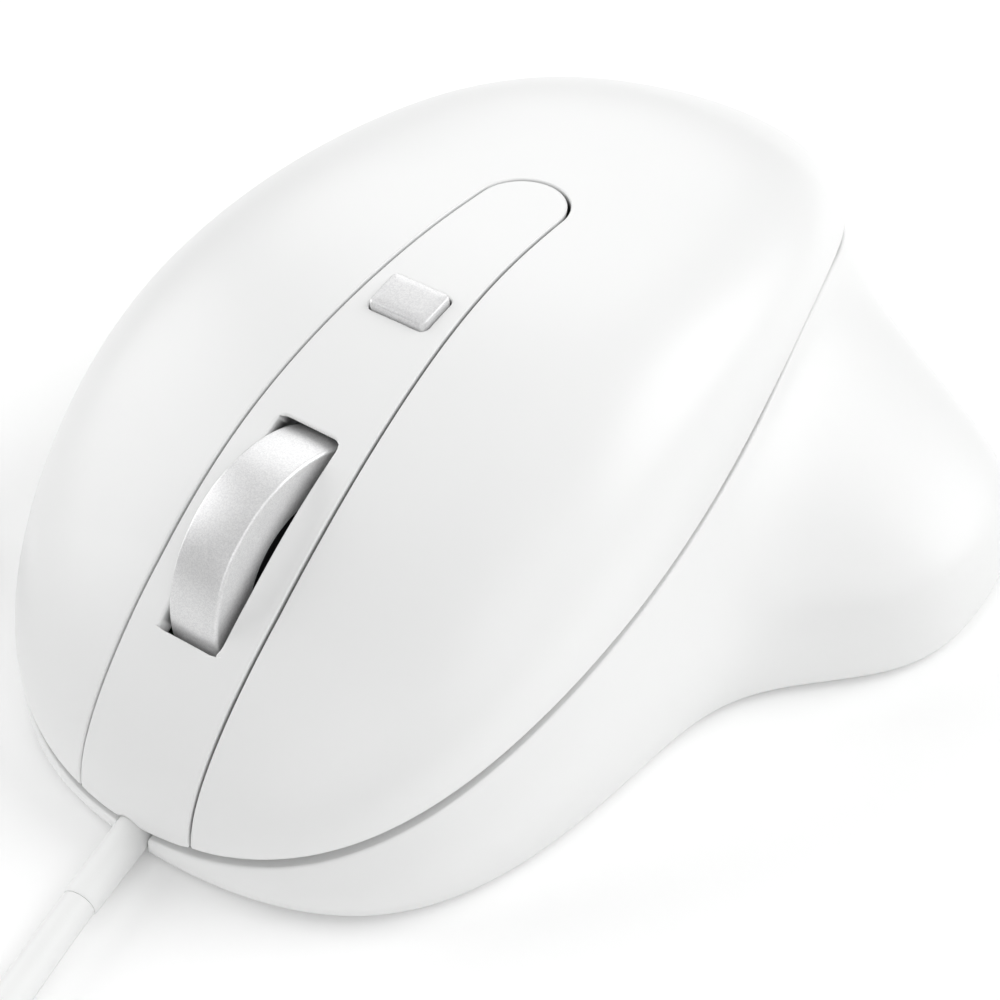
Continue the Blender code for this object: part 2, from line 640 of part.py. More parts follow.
def build_wheel():
    centre, axis = (0, WHEEL_Y, WHEEL_Z), (1, 0, 0)
    inner, half, edge = WHEEL_RADIUS - RIM_THICKNESS, WHEEL_WIDTH / 2, RIM_EDGE
    arc = [(WHEEL_RADIUS - edge + edge * math.cos(t), half - edge + edge * math.sin(t))
           for t in (math.radians(a) for a in range(0, 91, 30))]
    section = [(inner, -half)] + [(r, -d) for r, d in reversed(arc)] + arc + [(inner, half)]
    rim = hoop("wheel_rim", section, centre, axis, "satin_silver", sides=40)
    hub_half, bore = HUB_WIDTH / 2, AXLE_RADIUS + GAP
    web = 1.2
    section = [(bore, -hub_half), (3.2, -hub_half), (3.8, -web), (6.8, -web), (7.4, -hub_half),
               (inner - GAP, -hub_half), (inner - GAP, hub_half), (7.4, hub_half), (6.8, web),
               (3.8, web), (3.2, hub_half), (bore, hub_half)]
    hub = hoop("wheel_hub", section, centre, axis, "dark_plastic", sides=32)
    half = AXLE_HALF_LENGTH
    profile = [(AXLE_RADIUS - 0.4, -half), (AXLE_RADIUS, -half + 0.4), (AXLE_RADIUS, half - 0.4),
               (AXLE_RADIUS - 0.4, half)]
    axle = shaft("wheel_axle", profile, centre, axis, "dark_plastic", sides=20)
    return rim, hub, axle


def build_fork():
    """Two arms with eyes for the axle, joined by a bar behind the wheel."""
    outer = FORK_ARM_INNER + FORK_ARM_WALL
    low, high = WHEEL_Z - FORK_ARM_HEIGHT / 2, WHEEL_Z + FORK_ARM_HEIGHT / 2
    bar_front = FORK_BAR_Y - FORK_BAR_DEPTH / 2
    bar_back = FORK_BAR_Y + FORK_BAR_DEPTH / 2
    fork = block("wheel_fork", (-outer, bar_front, low), (outer, bar_back, high), "grey_plastic")
    for side in (-1, 1):
        near, far = sorted((side * FORK_ARM_INNER, side * outer))
        arm = block("arm", (near, WHEEL_Y, low), (far, bar_back - 0.2, high))
        combine(fork, arm, "UNION")
        eye = shaft("eye", [(FORK_EYE_RADIUS, near), (FORK_EYE_RADIUS, far)],
                    (0, WHEEL_Y, WHEEL_Z), (1, 0, 0), sides=24)
        combine(fork, eye, "UNION")
    bore = shaft("bore", [(AXLE_RADIUS + GAP, -outer - 1), (AXLE_RADIUS + GAP, outer + 1)],
                 (0, WHEEL_Y, WHEEL_Z), (1, 0, 0), sides=24)
    return combine(fork, bore, "DIFFERENCE")


def build_fork_guides():
    """Upright posts on the board that keep the fork in line."""
    outer = FORK_ARM_INNER + FORK_ARM_WALL + GAP
    for name, side in (("left_fork_guide", 1), ("right_fork_guide", -1)):
        near, far = sorted((side * outer, side * (outer + 1.4)))
        block(name, (near, FORK_BAR_Y - 2.6, board_top()), (far, FORK_BAR_Y + 2.6, WHEEL_Z + 2.8),
              "grey_plastic")


def build_encoder():
    """Rotary encoder standing beside the wheel, with the axle through its eye."""
    near, far = FORK_ARM_INNER + FORK_ARM_WALL + 0.9, AXLE_HALF_LENGTH + 1.0
    case = block("encoder", (near, WHEEL_Y - 3.6, board_top()), (far, WHEEL_Y + 4.4, WHEEL_Z + 3.2),
                 "grey_plastic")
    clear = AXLE_RADIUS + WHEEL_PRESS + GAP
    eye = shaft("eye", [(clear, near - 1), (clear, far + 1)], (0, WHEEL_Y, WHEEL_Z), (1, 0, 0), sides=24)
    return combine(case, eye, "DIFFERENCE")


# ---------------------------------------------------------------- switches and small button

def board_top():
    """Height at which the parts on the main board start."""
    return BOARD_BOTTOM + BOARD_THICKNESS + GAP


def switch_top():
    """Top of the two main switches' cases."""
    return board_top() + SWITCH_SIZE[2]


def build_micro_switch(name, side):
    """A snap-action switch case and its plunger, which is a separate moving piece."""
    width, length, _ = SWITCH_SIZE
    x, y, top = side * SWITCH_X, SWITCH_Y + 3.0, switch_top()
    case = block(f"{name}_switch_case", (x - width / 2, y - length / 2, board_top()),
                 (x + width / 2, y + length / 2, top), "dark_plastic")
    half_x, half_y = PLUNGER_SIZE[0] / 2, PLUNGER_SIZE[1] / 2
    well = block("well", (x - half_x - SLIDE_GAP, SWITCH_Y - half_y - SLIDE_GAP, top - PLUNGER_WELL),
                 (x + half_x + SLIDE_GAP, SWITCH_Y + half_y + SLIDE_GAP, top + 1))
    combine(case, well, "DIFFERENCE")
    block(f"{name}_switch_plunger", (x - half_x, SWITCH_Y - half_y, top - PLUNGER_WELL + 0.8),
          (x + half_x, SWITCH_Y + half_y, top + PLUNGER_RISE), "grey_plastic")


def build_tact_switch(name, x, y, foot):
    """A square tact switch case and its round plunger; returns the plunger's top."""
    half = TACT_SIZE / 2
    case = block(f"{name}_switch_case", (x - half, y - half, foot),
                 (x + half, y + half, foot + TACT_HEIGHT), "dark_plastic")
    radius = TACT_PLUNGER_RADIUS
    well = shaft("well", [(radius + SLIDE_GAP, foot + 1.2), (radius + SLIDE_GAP, foot + TACT_HEIGHT + 1)],
                 (x, y, 0), (0, 0, 1), sides=20)
    combine(case, well, "DIFFERENCE")
    top = foot + TACT_HEIGHT + TACT_RISE
    shaft(f"{name}_switch_plunger", [(radius, foot + 2.1), (radius, top)], (x, y, 0), (0, 0, 1),
          "grey_plastic", sides=20)
    return top


def wheel_switch_stand():
    """Height of the wheel's tact switch so that its plunger meets the fork's bar."""
    fork_bottom = WHEEL_Z - FORK_ARM_HEIGHT / 2
    return fork_bottom - CONTACT_GAP - TACT_RISE - TACT_HEIGHT


def build_wheel_switch():
    half = TACT_SIZE / 2
    block("wheel_switch_stand", (-half, FORK_BAR_Y - half, board_top()),
          (half, FORK_BAR_Y + half, wheel_switch_stand() - GAP), "grey_plastic")
    build_tact_switch("wheel", 0, FORK_BAR_Y, wheel_switch_stand())


def build_mode_button():
    """Small button on the strip: a crowned cap, a flange under the strip and a stem to its switch."""
    rings = []
    for rise, shrink in ((-MODE_DEPTH, 0.0), (MODE_RISE - 0.35, 0.0), (MODE_RISE, 0.35)):
        outline = rounded_outline(0, MODE_Y, 2 * (MODE_HALF_WIDTH - shrink), MODE_LENGTH - 2 * shrink,
                                  MODE_CORNER - shrink, steps=4)
        rings.append([(x, y, float(cover_height(0.0, y)) + rise) for x, y in outline])
    button = loft("mode_button", rings, "satin_silver", angle=30)
    surface = float(cover_height(0, MODE_Y))
    flange_top = surface - COVER_WALL - MODE_LENGTH * 0.2 - GAP
    flange = block("flange", (-MODE_HALF_WIDTH - 1, MODE_Y - MODE_LENGTH / 2 - 0.6, flange_top - 1.6),
                   (MODE_HALF_WIDTH + 1, MODE_Y + MODE_LENGTH / 2 + 0.6, flange_top - 0.4))
    combine(button, flange, "UNION")
    stem = shaft("stem", [(MODE_STEM_RADIUS, mode_switch_top() + CONTACT_GAP),
                          (MODE_STEM_RADIUS, flange_top - 1.0)], (0, MODE_Y, 0), (0, 0, 1), sides=16)
    return combine(button, stem, "UNION")


def mode_switch_foot():
    return SMALL_BOARD_HEIGHT + BOARD_THICKNESS + GAP


def mode_switch_top():
    return mode_switch_foot() + TACT_HEIGHT + TACT_RISE


def build_mode_switch():
    """The second board that carries the small button's switch, and its two legs."""
    y = MODE_Y + 1.5
    outline = rounded_outline(0, y, *SMALL_BOARD, 1.0, 3)
    prism("mode_board", outline, SMALL_BOARD_HEIGHT, SMALL_BOARD_HEIGHT + BOARD_THICKNESS, "board_green")
    for name, side in (("left_board_leg", 1), ("right_board_leg", -1)):
        x = side * LEG_X
        block(name, (x - 1.2, y - 2.5, board_top()), (x + 1.2, y + 2.5, SMALL_BOARD_HEIGHT - GAP),
              "grey_plastic")
    build_tact_switch("mode", 0, MODE_Y, mode_switch_foot())


# ---------------------------------------------------------------- main board and optics

def build_circuit_board():
    middle = (BOARD_FRONT + BOARD_REAR) / 2
    outline = rounded_outline(0, middle, 2 * BOARD_HALF_WIDTH, BOARD_REAR - BOARD_FRONT, BOARD_CORNER)
    board = prism("circuit_board", outline, BOARD_BOTTOM, BOARD_BOTTOM + BOARD_THICKNESS, "board_green")
    front, back = BOARD_FRONT - 5, WHEEL_Y + WHEEL_RADIUS - 2
    notch = rounded_outline(0, (front + back) / 2, WHEEL_WIDTH + 4, back - front, 1.5)
    combine(board, prism("notch", notch, -1, 30), "DIFFERENCE")
    light_hole = shaft("hole", [(2.6, -1), (2.6, 30)], (WINDOW[0], WINDOW[1], 0), (0, 0, 1), sides=24)
    return combine(board, light_hole, "DIFFERENCE")


def build_optics():
    x, y = WINDOW[0], WINDOW[1]
    top = board_top()
    block("optical_sensor", (x - 4.6, y - 6.0, top), (x + 4.6, y + 6.0, top + 2.8), "dark_plastic")
    plate_top = PLATE_BOTTOM + PLATE_THICKNESS
    foot = rounded_outline(x, y, WINDOW[2] - 2 * GAP, WINDOW[3] - 2 * GAP, 1.7)
    flange = rounded_outline(x, y, WINDOW[2] + 3, WINDOW[3] + 3, 2.5)
    lens = prism("sensor_lens", foot, PLATE_BOTTOM + 0.3, plate_top + GAP + 0.5, "clear_lens")
    combine(lens, prism("flange", flange, plate_top + GAP, plate_top + GAP + 1.0), "UNION")
    collar = shaft("collar", [(2.2, plate_top + GAP + 0.5), (2.2, BOARD_BOTTOM - GAP)], (x, y, 0),
                   (0, 0, 1), sides=20)
    combine(lens, collar, "UNION")
    profile = [(1.9, 0), (1.9, 1), (1.5, 1), (1.5, 3.8), (1.2, 4.6), (0.5, 5.1)]
    shaft("sensor_led", profile, (x, y + 14.5, top + 2.2), (0, -1, -0.12), "clear_lens", sides=16)


def build_board_parts():
    top = board_top()
    block("controller_chip", (-17.0, 6.0, top), (-9.0, 11.0, top + 1.5), "dark_plastic")
    profile = [(2.3, 0), (2.5, 0.3), (2.5, 1.2), (2.2, 1.5), (2.5, 1.8), (2.5, 5.6), (2.2, 6.0)]
    shaft("filter_capacitor", profile, (13.0, 15.0, top), (0, 0, 1), "dark_plastic", sides=20)
    block("cable_header", (-21.0, HEADER_FRONT, top), (-13.5, HEADER_FRONT + 4.5, top + 5.0), "slip_foot")


# ---------------------------------------------------------------- cable

def cable(name, points, radius, sides_resolution=2):
    """A round cable through millimetre points, with closed ends."""
    curve = bpy.data.curves.new(name, "CURVE")
    curve.dimensions = "3D"
    curve.bevel_depth = radius * MM
    curve.bevel_resolution = sides_resolution
    curve.use_fill_caps = True
    spline = curve.splines.new("POLY")
    spline.points.add(len(points) - 1)
    for slot, point in zip(spline.points, points):
        slot.co = (*(MM * c for c in point), 1)
    curve.materials.append(material("white_cable"))
    made = bpy.data.objects.new(name, curve)
    bpy.context.scene.collection.objects.link(made)
    return made


def smooth_route(points, spacing):
    """Evenly spaced points on a natural spline through the route's own points."""
    route = np.asarray(points, float)
    travel = np.concatenate([[0], np.cumsum(np.linalg.norm(np.diff(route, axis=0), axis=1))])
    axes = [natural_spline(travel, route[:, k]) for k in range(3)]
    count = max(int(round(travel[-1] / spacing)), 3)
    at = np.linspace(0, travel[-1], count + 1)
    return np.stack([axis(at) for axis in axes], -1)


def build_sleeve():
    """Tapered sleeve that starts inside the case and carries the cable out through the front wall."""
    reach = SLEEVE_INSIDE + SLEEVE_REACH
    profile = [(SLEEVE_ROOT_RADIUS - 0.3, 0), (SLEEVE_ROOT_RADIUS, 0.3), (SLEEVE_ROOT_RADIUS, SLEEVE_INSIDE),
               (SLEEVE_END_RADIUS, reach - 0.5), (SLEEVE_END_RADIUS - 0.2, reach)]
    return shaft("strain_relief", profile, sleeve_point(-SLEEVE_INSIDE), sleeve_axis(), "white_cable", sides=20)


def ring_touch():
    """Distance in Y from the coil's middle at which a cable along its side meets its outer edge."""
    return math.sqrt((COIL_OUTER_TURN + CABLE_RADIUS + 2 * GAP)**2 - (COIL_OUTER_TURN - CABLE_RADIUS)**2)


def cable_route():
    """From the sleeve's end down to the table, along it and up on to the coil's first turn."""
    x_start, start, _ = sleeve_point(SLEEVE_REACH + GAP)
    end = COIL_CENTRE[1] + ring_touch()
    share = np.linspace(0, 1, 9)
    travel = share * (start - end)
    x_end = COIL_CENTRE[0] + COIL_OUTER_TURN
    lead = math.tan(SLEEVE_TURN) * travel * (1 - share)**2
    x = x_start + (x_end - x_start) * smooth_step(share) + lead
    table = CABLE_RADIUS + 0.06
    drop = (EXIT_HEIGHT - table) * smooth_step(travel / TOUCHDOWN)
    rise = (COIL_LIFT + CABLE_RADIUS - table) * smooth_step((travel - TOUCHDOWN) / (start - end - TOUCHDOWN))
    return np.stack([x, start - travel, EXIT_HEIGHT - drop + rise], -1)


def build_cable():
    cable("cable", smooth_route(cable_route(), 5.0), CABLE_RADIUS)
    inner, outer = COIL_INNER_TURN - CABLE_RADIUS - 0.15, COIL_OUTER_TURN + CABLE_RADIUS + 0.15
    low, high = COIL_LIFT, COIL_LIFT + 2 * CABLE_RADIUS + (COIL_LAYERS - 1) * LAYER_PITCH + 0.1
    chamfer = 1.2
    section = [(inner, low + chamfer), (inner + chamfer, low), (outer - chamfer, low), (outer, low + chamfer),
               (outer, high - chamfer), (outer - chamfer, high), (inner + chamfer, high),
               (inner, high - chamfer)]
    hoop("cable_coil", section, (*COIL_CENTRE, 0), (0, 0, 1), "white_cable", sides=40)
    build_tie(inner, outer, low, high)


def build_tie(inner, outer, low, high):
    """Flat tie round the coil's turns, on the side away from the mouse."""
    thickness, half_width, clear = 0.3, 2.0, 0.25
    cx, cy = COIL_CENTRE
    loops = []
    for grow in (clear, clear + thickness):
        bottom = max(low - grow, 0.0)
        loops.append([(cy - inner + grow, bottom), (cy - inner + grow, high + grow),
                      (cy - outer - grow, high + grow), (cy - outer - grow, bottom)])
    points = []
    for x in (cx - half_width, cx + half_width):
        for loop in loops:
            points += [(x, y, z) for y, z in loop]
    faces = []
    for i in range(4):
        j = (i + 1) % 4
        faces += [(i, j, 4 + j, 4 + i), (8 + i, 12 + i, 12 + j, 8 + j),
                  (i, 8 + i, 8 + j, j), (4 + i, 4 + j, 12 + j, 12 + i)]
    make("coil_tie", points, faces, "dark_plastic")


def plug_height():
    """Height of the plug's axis as it lies on the table."""
    return PLUG_BODY[2] / 2 + 0.1


def along_plug(name, sections, slot=None, angle=35):
    """A solid through (outline, distance from the plug's neck) sections."""
    x, z = COIL_CENTRE[0] - COIL_OUTER_TURN, plug_height()
    rings = [[(x + across, PLUG_Y + travel, z + up) for across, up in outline]
             for outline, travel in sections]
    return loft(name, rings, slot, angle)


def build_plug():
    """USB plug beside the coil: moulded grip with a neck, steel shell and contact tongue."""
    width, length, height = PLUG_BODY
    neck = rounded_outline(0, 0, 2 * CABLE_RADIUS + 0.6, 2 * CABLE_RADIUS + 0.6, CABLE_RADIUS + 0.29)
    root = rounded_outline(0, 0, 6.4, 5.6, 2.6)
    full = rounded_outline(0, 0, width, height, 2.0)
    slim = rounded_outline(0, 0, width - 1.0, height - 0.8, 1.6)
    front = PLUG_NECK_LENGTH + length
    grip = along_plug("plug_grip", [
        (neck, 0), (root, PLUG_NECK_LENGTH), (slim, PLUG_NECK_LENGTH + 1.2),
        (full, PLUG_NECK_LENGTH + 2.2), (full, front - 0.8), (slim, front)], "white_cable", angle=30)
    shell_width, shell_length, shell_height = PLUG_SHELL
    pocket = rounded_outline(0, 0, shell_width + 2 * GAP, shell_height + 2 * GAP, 0.7)
    combine(grip, along_plug("pocket", [(pocket, front - PLUG_POCKET), (pocket, front + 1)]), "DIFFERENCE")
    outer = rounded_outline(0, 0, shell_width, shell_height, 0.5)
    inner = rounded_outline(0, 0, shell_width - 2 * PLUG_WALL, shell_height - 2 * PLUG_WALL, 0.3)
    back, end = front - PLUG_POCKET + GAP, front + shell_length
    shell = along_plug("plug_shell", [(outer, back), (outer, end)], "plain_steel")
    combine(shell, along_plug("bore", [(inner, back - 1), (inner, end + 1)]), "DIFFERENCE")
    hole_middle = shell_height / 2
    for side in (-1, 1):
        for face in (-1, 1):
            hole = rounded_outline(side * 2.6, face * hole_middle, 2.4, 2.0, 0.1, 1)
            combine(shell, along_plug("latch_hole", [(hole, front + 4.0), (hole, front + 6.2)]), "DIFFERENCE")
    bottom = PLUG_WALL + GAP - shell_height / 2
    tongue = rounded_outline(0, bottom + PLUG_TONGUE / 2, shell_width - 2 * (PLUG_WALL + GAP), PLUG_TONGUE,
                             0.1, 1)
    along_plug("plug_tongue", [(tongue, back + 0.2), (tongue, end - 0.8)], "grey_plastic")


def build_tail():
    """Short run of cable from the coil's top turn into the plug."""
    x = COIL_CENTRE[0] - COIL_OUTER_TURN
    start, end = COIL_CENTRE[1] + ring_touch(), PLUG_Y - GAP
    z_coil = COIL_LIFT + CABLE_RADIUS + (COIL_LAYERS - 1) * LAYER_PITCH - 0.3
    z_plug = plug_height()
    route = [(x, start, z_coil), (x, (start + end) / 2, (z_coil + z_plug) / 2), (x, end, z_plug)]
    cable("cable_tail", smooth_route(route, 3.0), CABLE_RADIUS)


def build_inner_lead():
    """The cable's cores inside the case, from the sleeve round the board's edge to the header."""
    x_start, start, _ = sleeve_point(-SLEEVE_INSIDE - GAP)
    x = -17.2
    ahead = BOARD_FRONT - 3.2
    route = [(x_start, start + GAP, EXIT_HEIGHT + 1.1),
             (x_start - 0.9, start + 0.65 * (ahead - start), EXIT_HEIGHT + 1.7), (-5.2, ahead, 5.2), (-9.5, ahead, 6.9), (-16.0, ahead + 0.6, 9.4),
             (-20.9, ahead + 5.0, 10.6), (-21.8, ahead + 11.4, 10.8),
             (-20.8, HEADER_FRONT - 5.4, 10.6), (x - 0.6, HEADER_FRONT - 2.4, 10.1),
             (x, HEADER_FRONT - 2 * GAP, board_top() + 2.5)]
    cable("inner_lead", smooth_route(route, 2.4), INNER_LEAD_RADIUS)


# ---------------------------------------------------------------- assembly

CORD_NODES = ("strain_relief", "cable", "cable_coil", "coil_tie", "cable_tail",
              "plug_grip", "plug_shell", "plug_tongue")

JOINTS = {
    "left_button_pivot": ((0, KEY_ROOT, KEY_PIVOT_HEIGHT), ("left_button",)),
    "right_button_pivot": ((0, KEY_ROOT, KEY_PIVOT_HEIGHT), ("right_button",)),
    "wheel_pivot": ((0, WHEEL_Y, WHEEL_Z), ("wheel_rim", "wheel_hub", "wheel_axle")),
    "fork_slide": ((0, WHEEL_Y, WHEEL_Z), ("wheel_fork",)),
    "mode_slide": ((0, MODE_Y, float(cover_height(0, MODE_Y))), ("mode_button",)),
    "left_plunger_slide": ((SWITCH_X, SWITCH_Y, switch_top() + PLUNGER_RISE), ("left_switch_plunger",)),
    "right_plunger_slide": ((-SWITCH_X, SWITCH_Y, switch_top() + PLUNGER_RISE), ("right_switch_plunger",)),
    "wheel_plunger_slide": ((0, FORK_BAR_Y, wheel_switch_stand() + TACT_HEIGHT), ("wheel_switch_plunger",)),
    "mode_plunger_slide": ((0, MODE_Y, mode_switch_foot() + TACT_HEIGHT), ("mode_switch_plunger",)),
}


def place_joints():
    """An empty on each joint's axis, with the moving pieces parented to it."""
    for name, (place, children) in JOINTS.items():
        empty = bpy.data.objects.new(name, None)
        empty.location = [MM * c for c in place]
        bpy.context.scene.collection.objects.link(empty)
        for child in children:
            piece = bpy.data.objects[child]
            piece.parent = empty
            piece.location = [-MM * c for c in place]


def stand_on_origin():
    """Move everything so that the mouse without its cable is centred on the origin."""
    bpy.context.view_layer.update()
    corners = []
    for item in bpy.data.objects:
        if item.type == "MESH" and item.name not in CORD_NODES:
            corners += [item.matrix_world @ Vector(corner) for corner in item.bound_box]
    low = [min(c[k] for c in corners) for k in range(3)]
    high = [max(c[k] for c in corners) for k in range(3)]
    shift = Vector((-(low[0] + high[0]) / 2, -(low[1] + high[1]) / 2, -low[2]))
    for item in bpy.data.objects:
        if item.parent is None:
            item.location += shift
    bpy.context.view_layer.update()


def main():
    clear_scene()
    build_palm_cover()
    build_key("left_button", 1)
    build_key("right_button", -1)
    build_strip()
    build_side_body()
    build_base_plate()
    build_feet()
    build_screw()
    build_wheel()
    build_fork()
    build_fork_guides()
    build_encoder()
    for name, side in (("left", 1), ("right", -1)):
        build_micro_switch(name, side)
    build_wheel_switch()
    build_mode_button()
    build_mode_switch()
    build_circuit_board()
    build_optics()
    build_board_parts()
    build_sleeve()
    build_inner_lead()
    build_cable()
    build_plug()
    build_tail()
    place_joints()
    stand_on_origin()


main()
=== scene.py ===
"""Looks of a wired computer mouse: fine shells, wheel, cable, materials, light and camera.

Lengths in the shape code are millimetres from the strip's datum, with -Y the front and +X the thumb
side. place() turns them into metres in the CAD's frame.
"""
import math

import bmesh
import bpy
import numpy as np
from mathutils import Matrix, Vector


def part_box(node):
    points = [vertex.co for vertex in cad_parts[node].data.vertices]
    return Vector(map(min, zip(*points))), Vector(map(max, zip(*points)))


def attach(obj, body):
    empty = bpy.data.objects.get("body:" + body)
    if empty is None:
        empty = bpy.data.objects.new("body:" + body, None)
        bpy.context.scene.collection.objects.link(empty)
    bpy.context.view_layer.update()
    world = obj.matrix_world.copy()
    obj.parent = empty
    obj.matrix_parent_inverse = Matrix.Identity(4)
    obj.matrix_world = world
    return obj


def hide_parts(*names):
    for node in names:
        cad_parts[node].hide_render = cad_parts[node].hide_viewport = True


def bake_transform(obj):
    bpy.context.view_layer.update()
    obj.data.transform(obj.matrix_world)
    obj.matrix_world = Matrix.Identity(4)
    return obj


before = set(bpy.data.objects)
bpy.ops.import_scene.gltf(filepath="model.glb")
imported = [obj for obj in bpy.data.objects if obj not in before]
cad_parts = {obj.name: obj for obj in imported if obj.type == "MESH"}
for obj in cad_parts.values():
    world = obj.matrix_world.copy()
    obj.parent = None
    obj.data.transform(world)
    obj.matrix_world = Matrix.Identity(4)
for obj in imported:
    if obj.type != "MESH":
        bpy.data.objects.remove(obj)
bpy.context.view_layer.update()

MM = 0.001
STRIP_TIP = 14.8
strip_low, strip_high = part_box("center_strip")
DATUM = np.array([(strip_low.x + strip_high.x) / 2, strip_high.y - STRIP_TIP * MM, 0.0])


def place(points):
    """Millimetres from the strip's datum to metres in the CAD's frame."""
    return np.asarray(points, float) * MM + DATUM


# ------------------------------------------------------------------ form of the mouse

RIM_FRONT, RIM_REAR = 56.9, 59.0
RIM_THUMB, RIM_FINGER = 32.0, 38.3
RIM_WIDEST, RIM_SQUARENESS = -2.9, 0.30
TAPER_THUMB, TAPER_FINGER, TAPER_LENGTH = -0.18, -0.12, 60.0
RIM_HEIGHTS = (5.6, 15.1, 22.1, 26.8, 16.1)
RIM_STATIONS = (-30.0, 0.0, 30.0)
RIM_LEAN, RIM_LEVEL_X, RIM_LEAN_END = 0.093, 19.0, -8.0
CROWN_HEIGHTS = (24.5, 34.7, 38.8, 37.7, 35.4)
CROWN_STATIONS = (-40.0, -20.0, 0.0, 25.0, 40.0)
CROWN_FULLNESS, CROWN_RUNOUT = 0.39, 0.6

BASE_FRONT, BASE_REAR = 57.0, 59.2
BASE_THUMB, BASE_FINGER = 36.1, 30.9
BASE_WIDEST, BASE_SQUARENESS = -11.1, 0.52
SHELF_EDGE = 55.0
SHELF_START, SHELF_START_SPREAD = 0.5, 9.0
SHELF_END, SHELF_END_SPREAD = 36.0, 6.0
SHELF_SHOULDER = 0.66
SIDE_BULGE, FULL_BULGE_HEIGHT = 1.35, 15.0
WALL_FOOT, WALL_BOTTOM = 1.3, 0.7

SEAM_GAP, RIM_GAP, SIDE_WALL, COVER_WALL = 0.36, 0.25, 1.8, 2.0
KEY_ROOT, KEY_PRESS_DEG = 6.0, 0.5
STRIP_HALF_WIDTHS = (7.55, 7.35, 5.67, 5.0)
STRIP_STATION = -28.0
TIP_RADIUS = 5.0
TIP_MIDDLE = STRIP_TIP - TIP_RADIUS

WHEEL_Y, WHEEL_Z = -30.4, 18.9
WHEEL_RADIUS, WHEEL_WIDTH, RIM_THICKNESS = 14.0, 6.4, 5.0
SLOT_HALF_WIDTH, SLOT_FRONT, SLOT_REAR, SLOT_CORNER = 4.0, -45.1, -24.7, 1.0
MODE_Y, MODE_LENGTH, MODE_HALF_WIDTH, MODE_RISE = -8.7, 4.6, 3.67, 0.7
MODE_CORNER, SLIDE_GAP = 0.6, 0.2
WHEEL_CLEARANCE, SLOT_LIP, STRIP_SHOULDER = 0.75, 0.3, -47.5

SEAM_ROUND, RIM_ROUND = 0.2, 0.6
EDGE = SEAM_GAP + SEAM_ROUND
SPLIT_Y = 12.0                            # palm cover and buttons share one line of points here
ACROSS = 46                               # rows of points from the strip to the rim
FRONT_SETBACK = 0.35                      # the button's inner corner stays this far behind the rim
POST_X, POST_Y, POST_HALF, POST_GAP = 16.4, -35.0, 1.3, 0.3
SCREW_Y, BOSS_BOTTOM, BOSS_RADIUS, BOSS_HOLE = 39.0, 5.0, 3.2, 1.4
BODY_LIP, FOOT_ROUND = 0.35, 0.7
SLEEVE_HOLE = 2.3

CABLE_RADIUS = 1.75
SLEEVE_INSIDE, SLEEVE_REACH, EXIT_HEIGHT = 7.0, 9.0, 2.5
SLEEVE_TURN = math.radians(11.0)          # the cable leaves turned this far towards the thumb side
SLEEVE_AXIS = np.array([math.sin(SLEEVE_TURN), -math.cos(SLEEVE_TURN), 0.0])
COIL_CENTRE = (-25.0, -110.0)
COIL_INNER_TURN, COIL_OUTER_TURN, LAYER_PITCH = 11.8, 30.6, 3.55
COIL_LIFT, CLIMB_TURNS = 0.6, 0.35
TOUCHDOWN, RISE_LENGTH, SWING_LENGTH = 15.0, 12.2, 27.2
CABLE_LENGTH = 1500.0
PLUG_Y, PLUG_HEIGHT = -82.0, 4.0

CAMERA_AZIMUTH, CAMERA_ELEVATION, CAMERA_TILT = (math.radians(turn) for turn in (40.61, 43.12, -4.40))
CAMERA_LENS, CAMERA_DISTANCE, CAMERA_TARGET = 71.93, 205.19, (12.90, -12.15, 20.0)

LIGHT_AIM = (0.0, 0.0, 0.02)
LIGHTS = {                                # place in metres, width of the disk, watts
    "rear_right": ((0.6, 0.6, 0.6), 0.8, 6.0),
    "left": ((-0.9, -0.2, 0.45), 0.8, 4.3),
    "right_front": ((0.65, -0.35, 0.7), 0.8, 2.4),
    "front": ((0.1, -0.9, 0.5), 0.8, 2.35),
    "rear_left": ((-0.5, 0.6, 0.6), 0.8, 2.35),
    "top": ((0.0, 0.0, 1.0), 0.9, 1.1),
    "rear": ((0.15, 0.65, 0.8), 0.9, 0.7),
}
SKY_STRENGTH, FLOOR_GLOW, FLOOR_REACH = 0.17, 0.05, 6.0


def mobius(value, ahead, behind):
    bend = (1 / behind - 1 / ahead) / 2
    slope = (1 / behind + 1 / ahead) / 2
    return slope * value / (1 + bend * value)


def mobius_inverse(share, ahead, behind):
    bend = (1 / behind - 1 / ahead) / 2
    slope = (1 / behind + 1 / ahead) / 2
    return share / (slope - bend * share)


def squircle_radius(level, squareness, cosine, sine):
    m = np.maximum(squareness * cosine**2 * sine**2, 1e-9)
    return np.sqrt((1 - np.sqrt(np.maximum(1 - 4 * m * level**2, 0))) / (2 * m))


def natural_spline(stations, values):
    x, y = np.asarray(stations, float), np.asarray(values, float)
    h = np.diff(x)
    size = len(x)
    system, right = np.eye(size), np.zeros(size)
    for i in range(1, size - 1):
        system[i, i - 1:i + 2] = h[i - 1], 2 * (h[i - 1] + h[i]), h[i]
        right[i] = 6 * ((y[i + 1] - y[i]) / h[i] - (y[i] - y[i - 1]) / h[i - 1])
    moment = np.linalg.solve(system, right)

    def value(at):
        at = np.asarray(at, float)
        i = np.clip(np.searchsorted(x, at) - 1, 0, size - 2)
        left, over = x[i + 1] - at, at - x[i]
        return (moment[i] * left**3 / (6 * h[i]) + moment[i + 1] * over**3 / (6 * h[i])
                + (y[i] / h[i] - moment[i] * h[i] / 6) * left
                + (y[i + 1] / h[i] - moment[i + 1] * h[i] / 6) * over)
    return value


def thumb_width(y):
    return RIM_THUMB * (1 + TAPER_THUMB * y / TAPER_LENGTH)


def finger_width(y):
    return RIM_FINGER * (1 + TAPER_FINGER * y / TAPER_LENGTH)


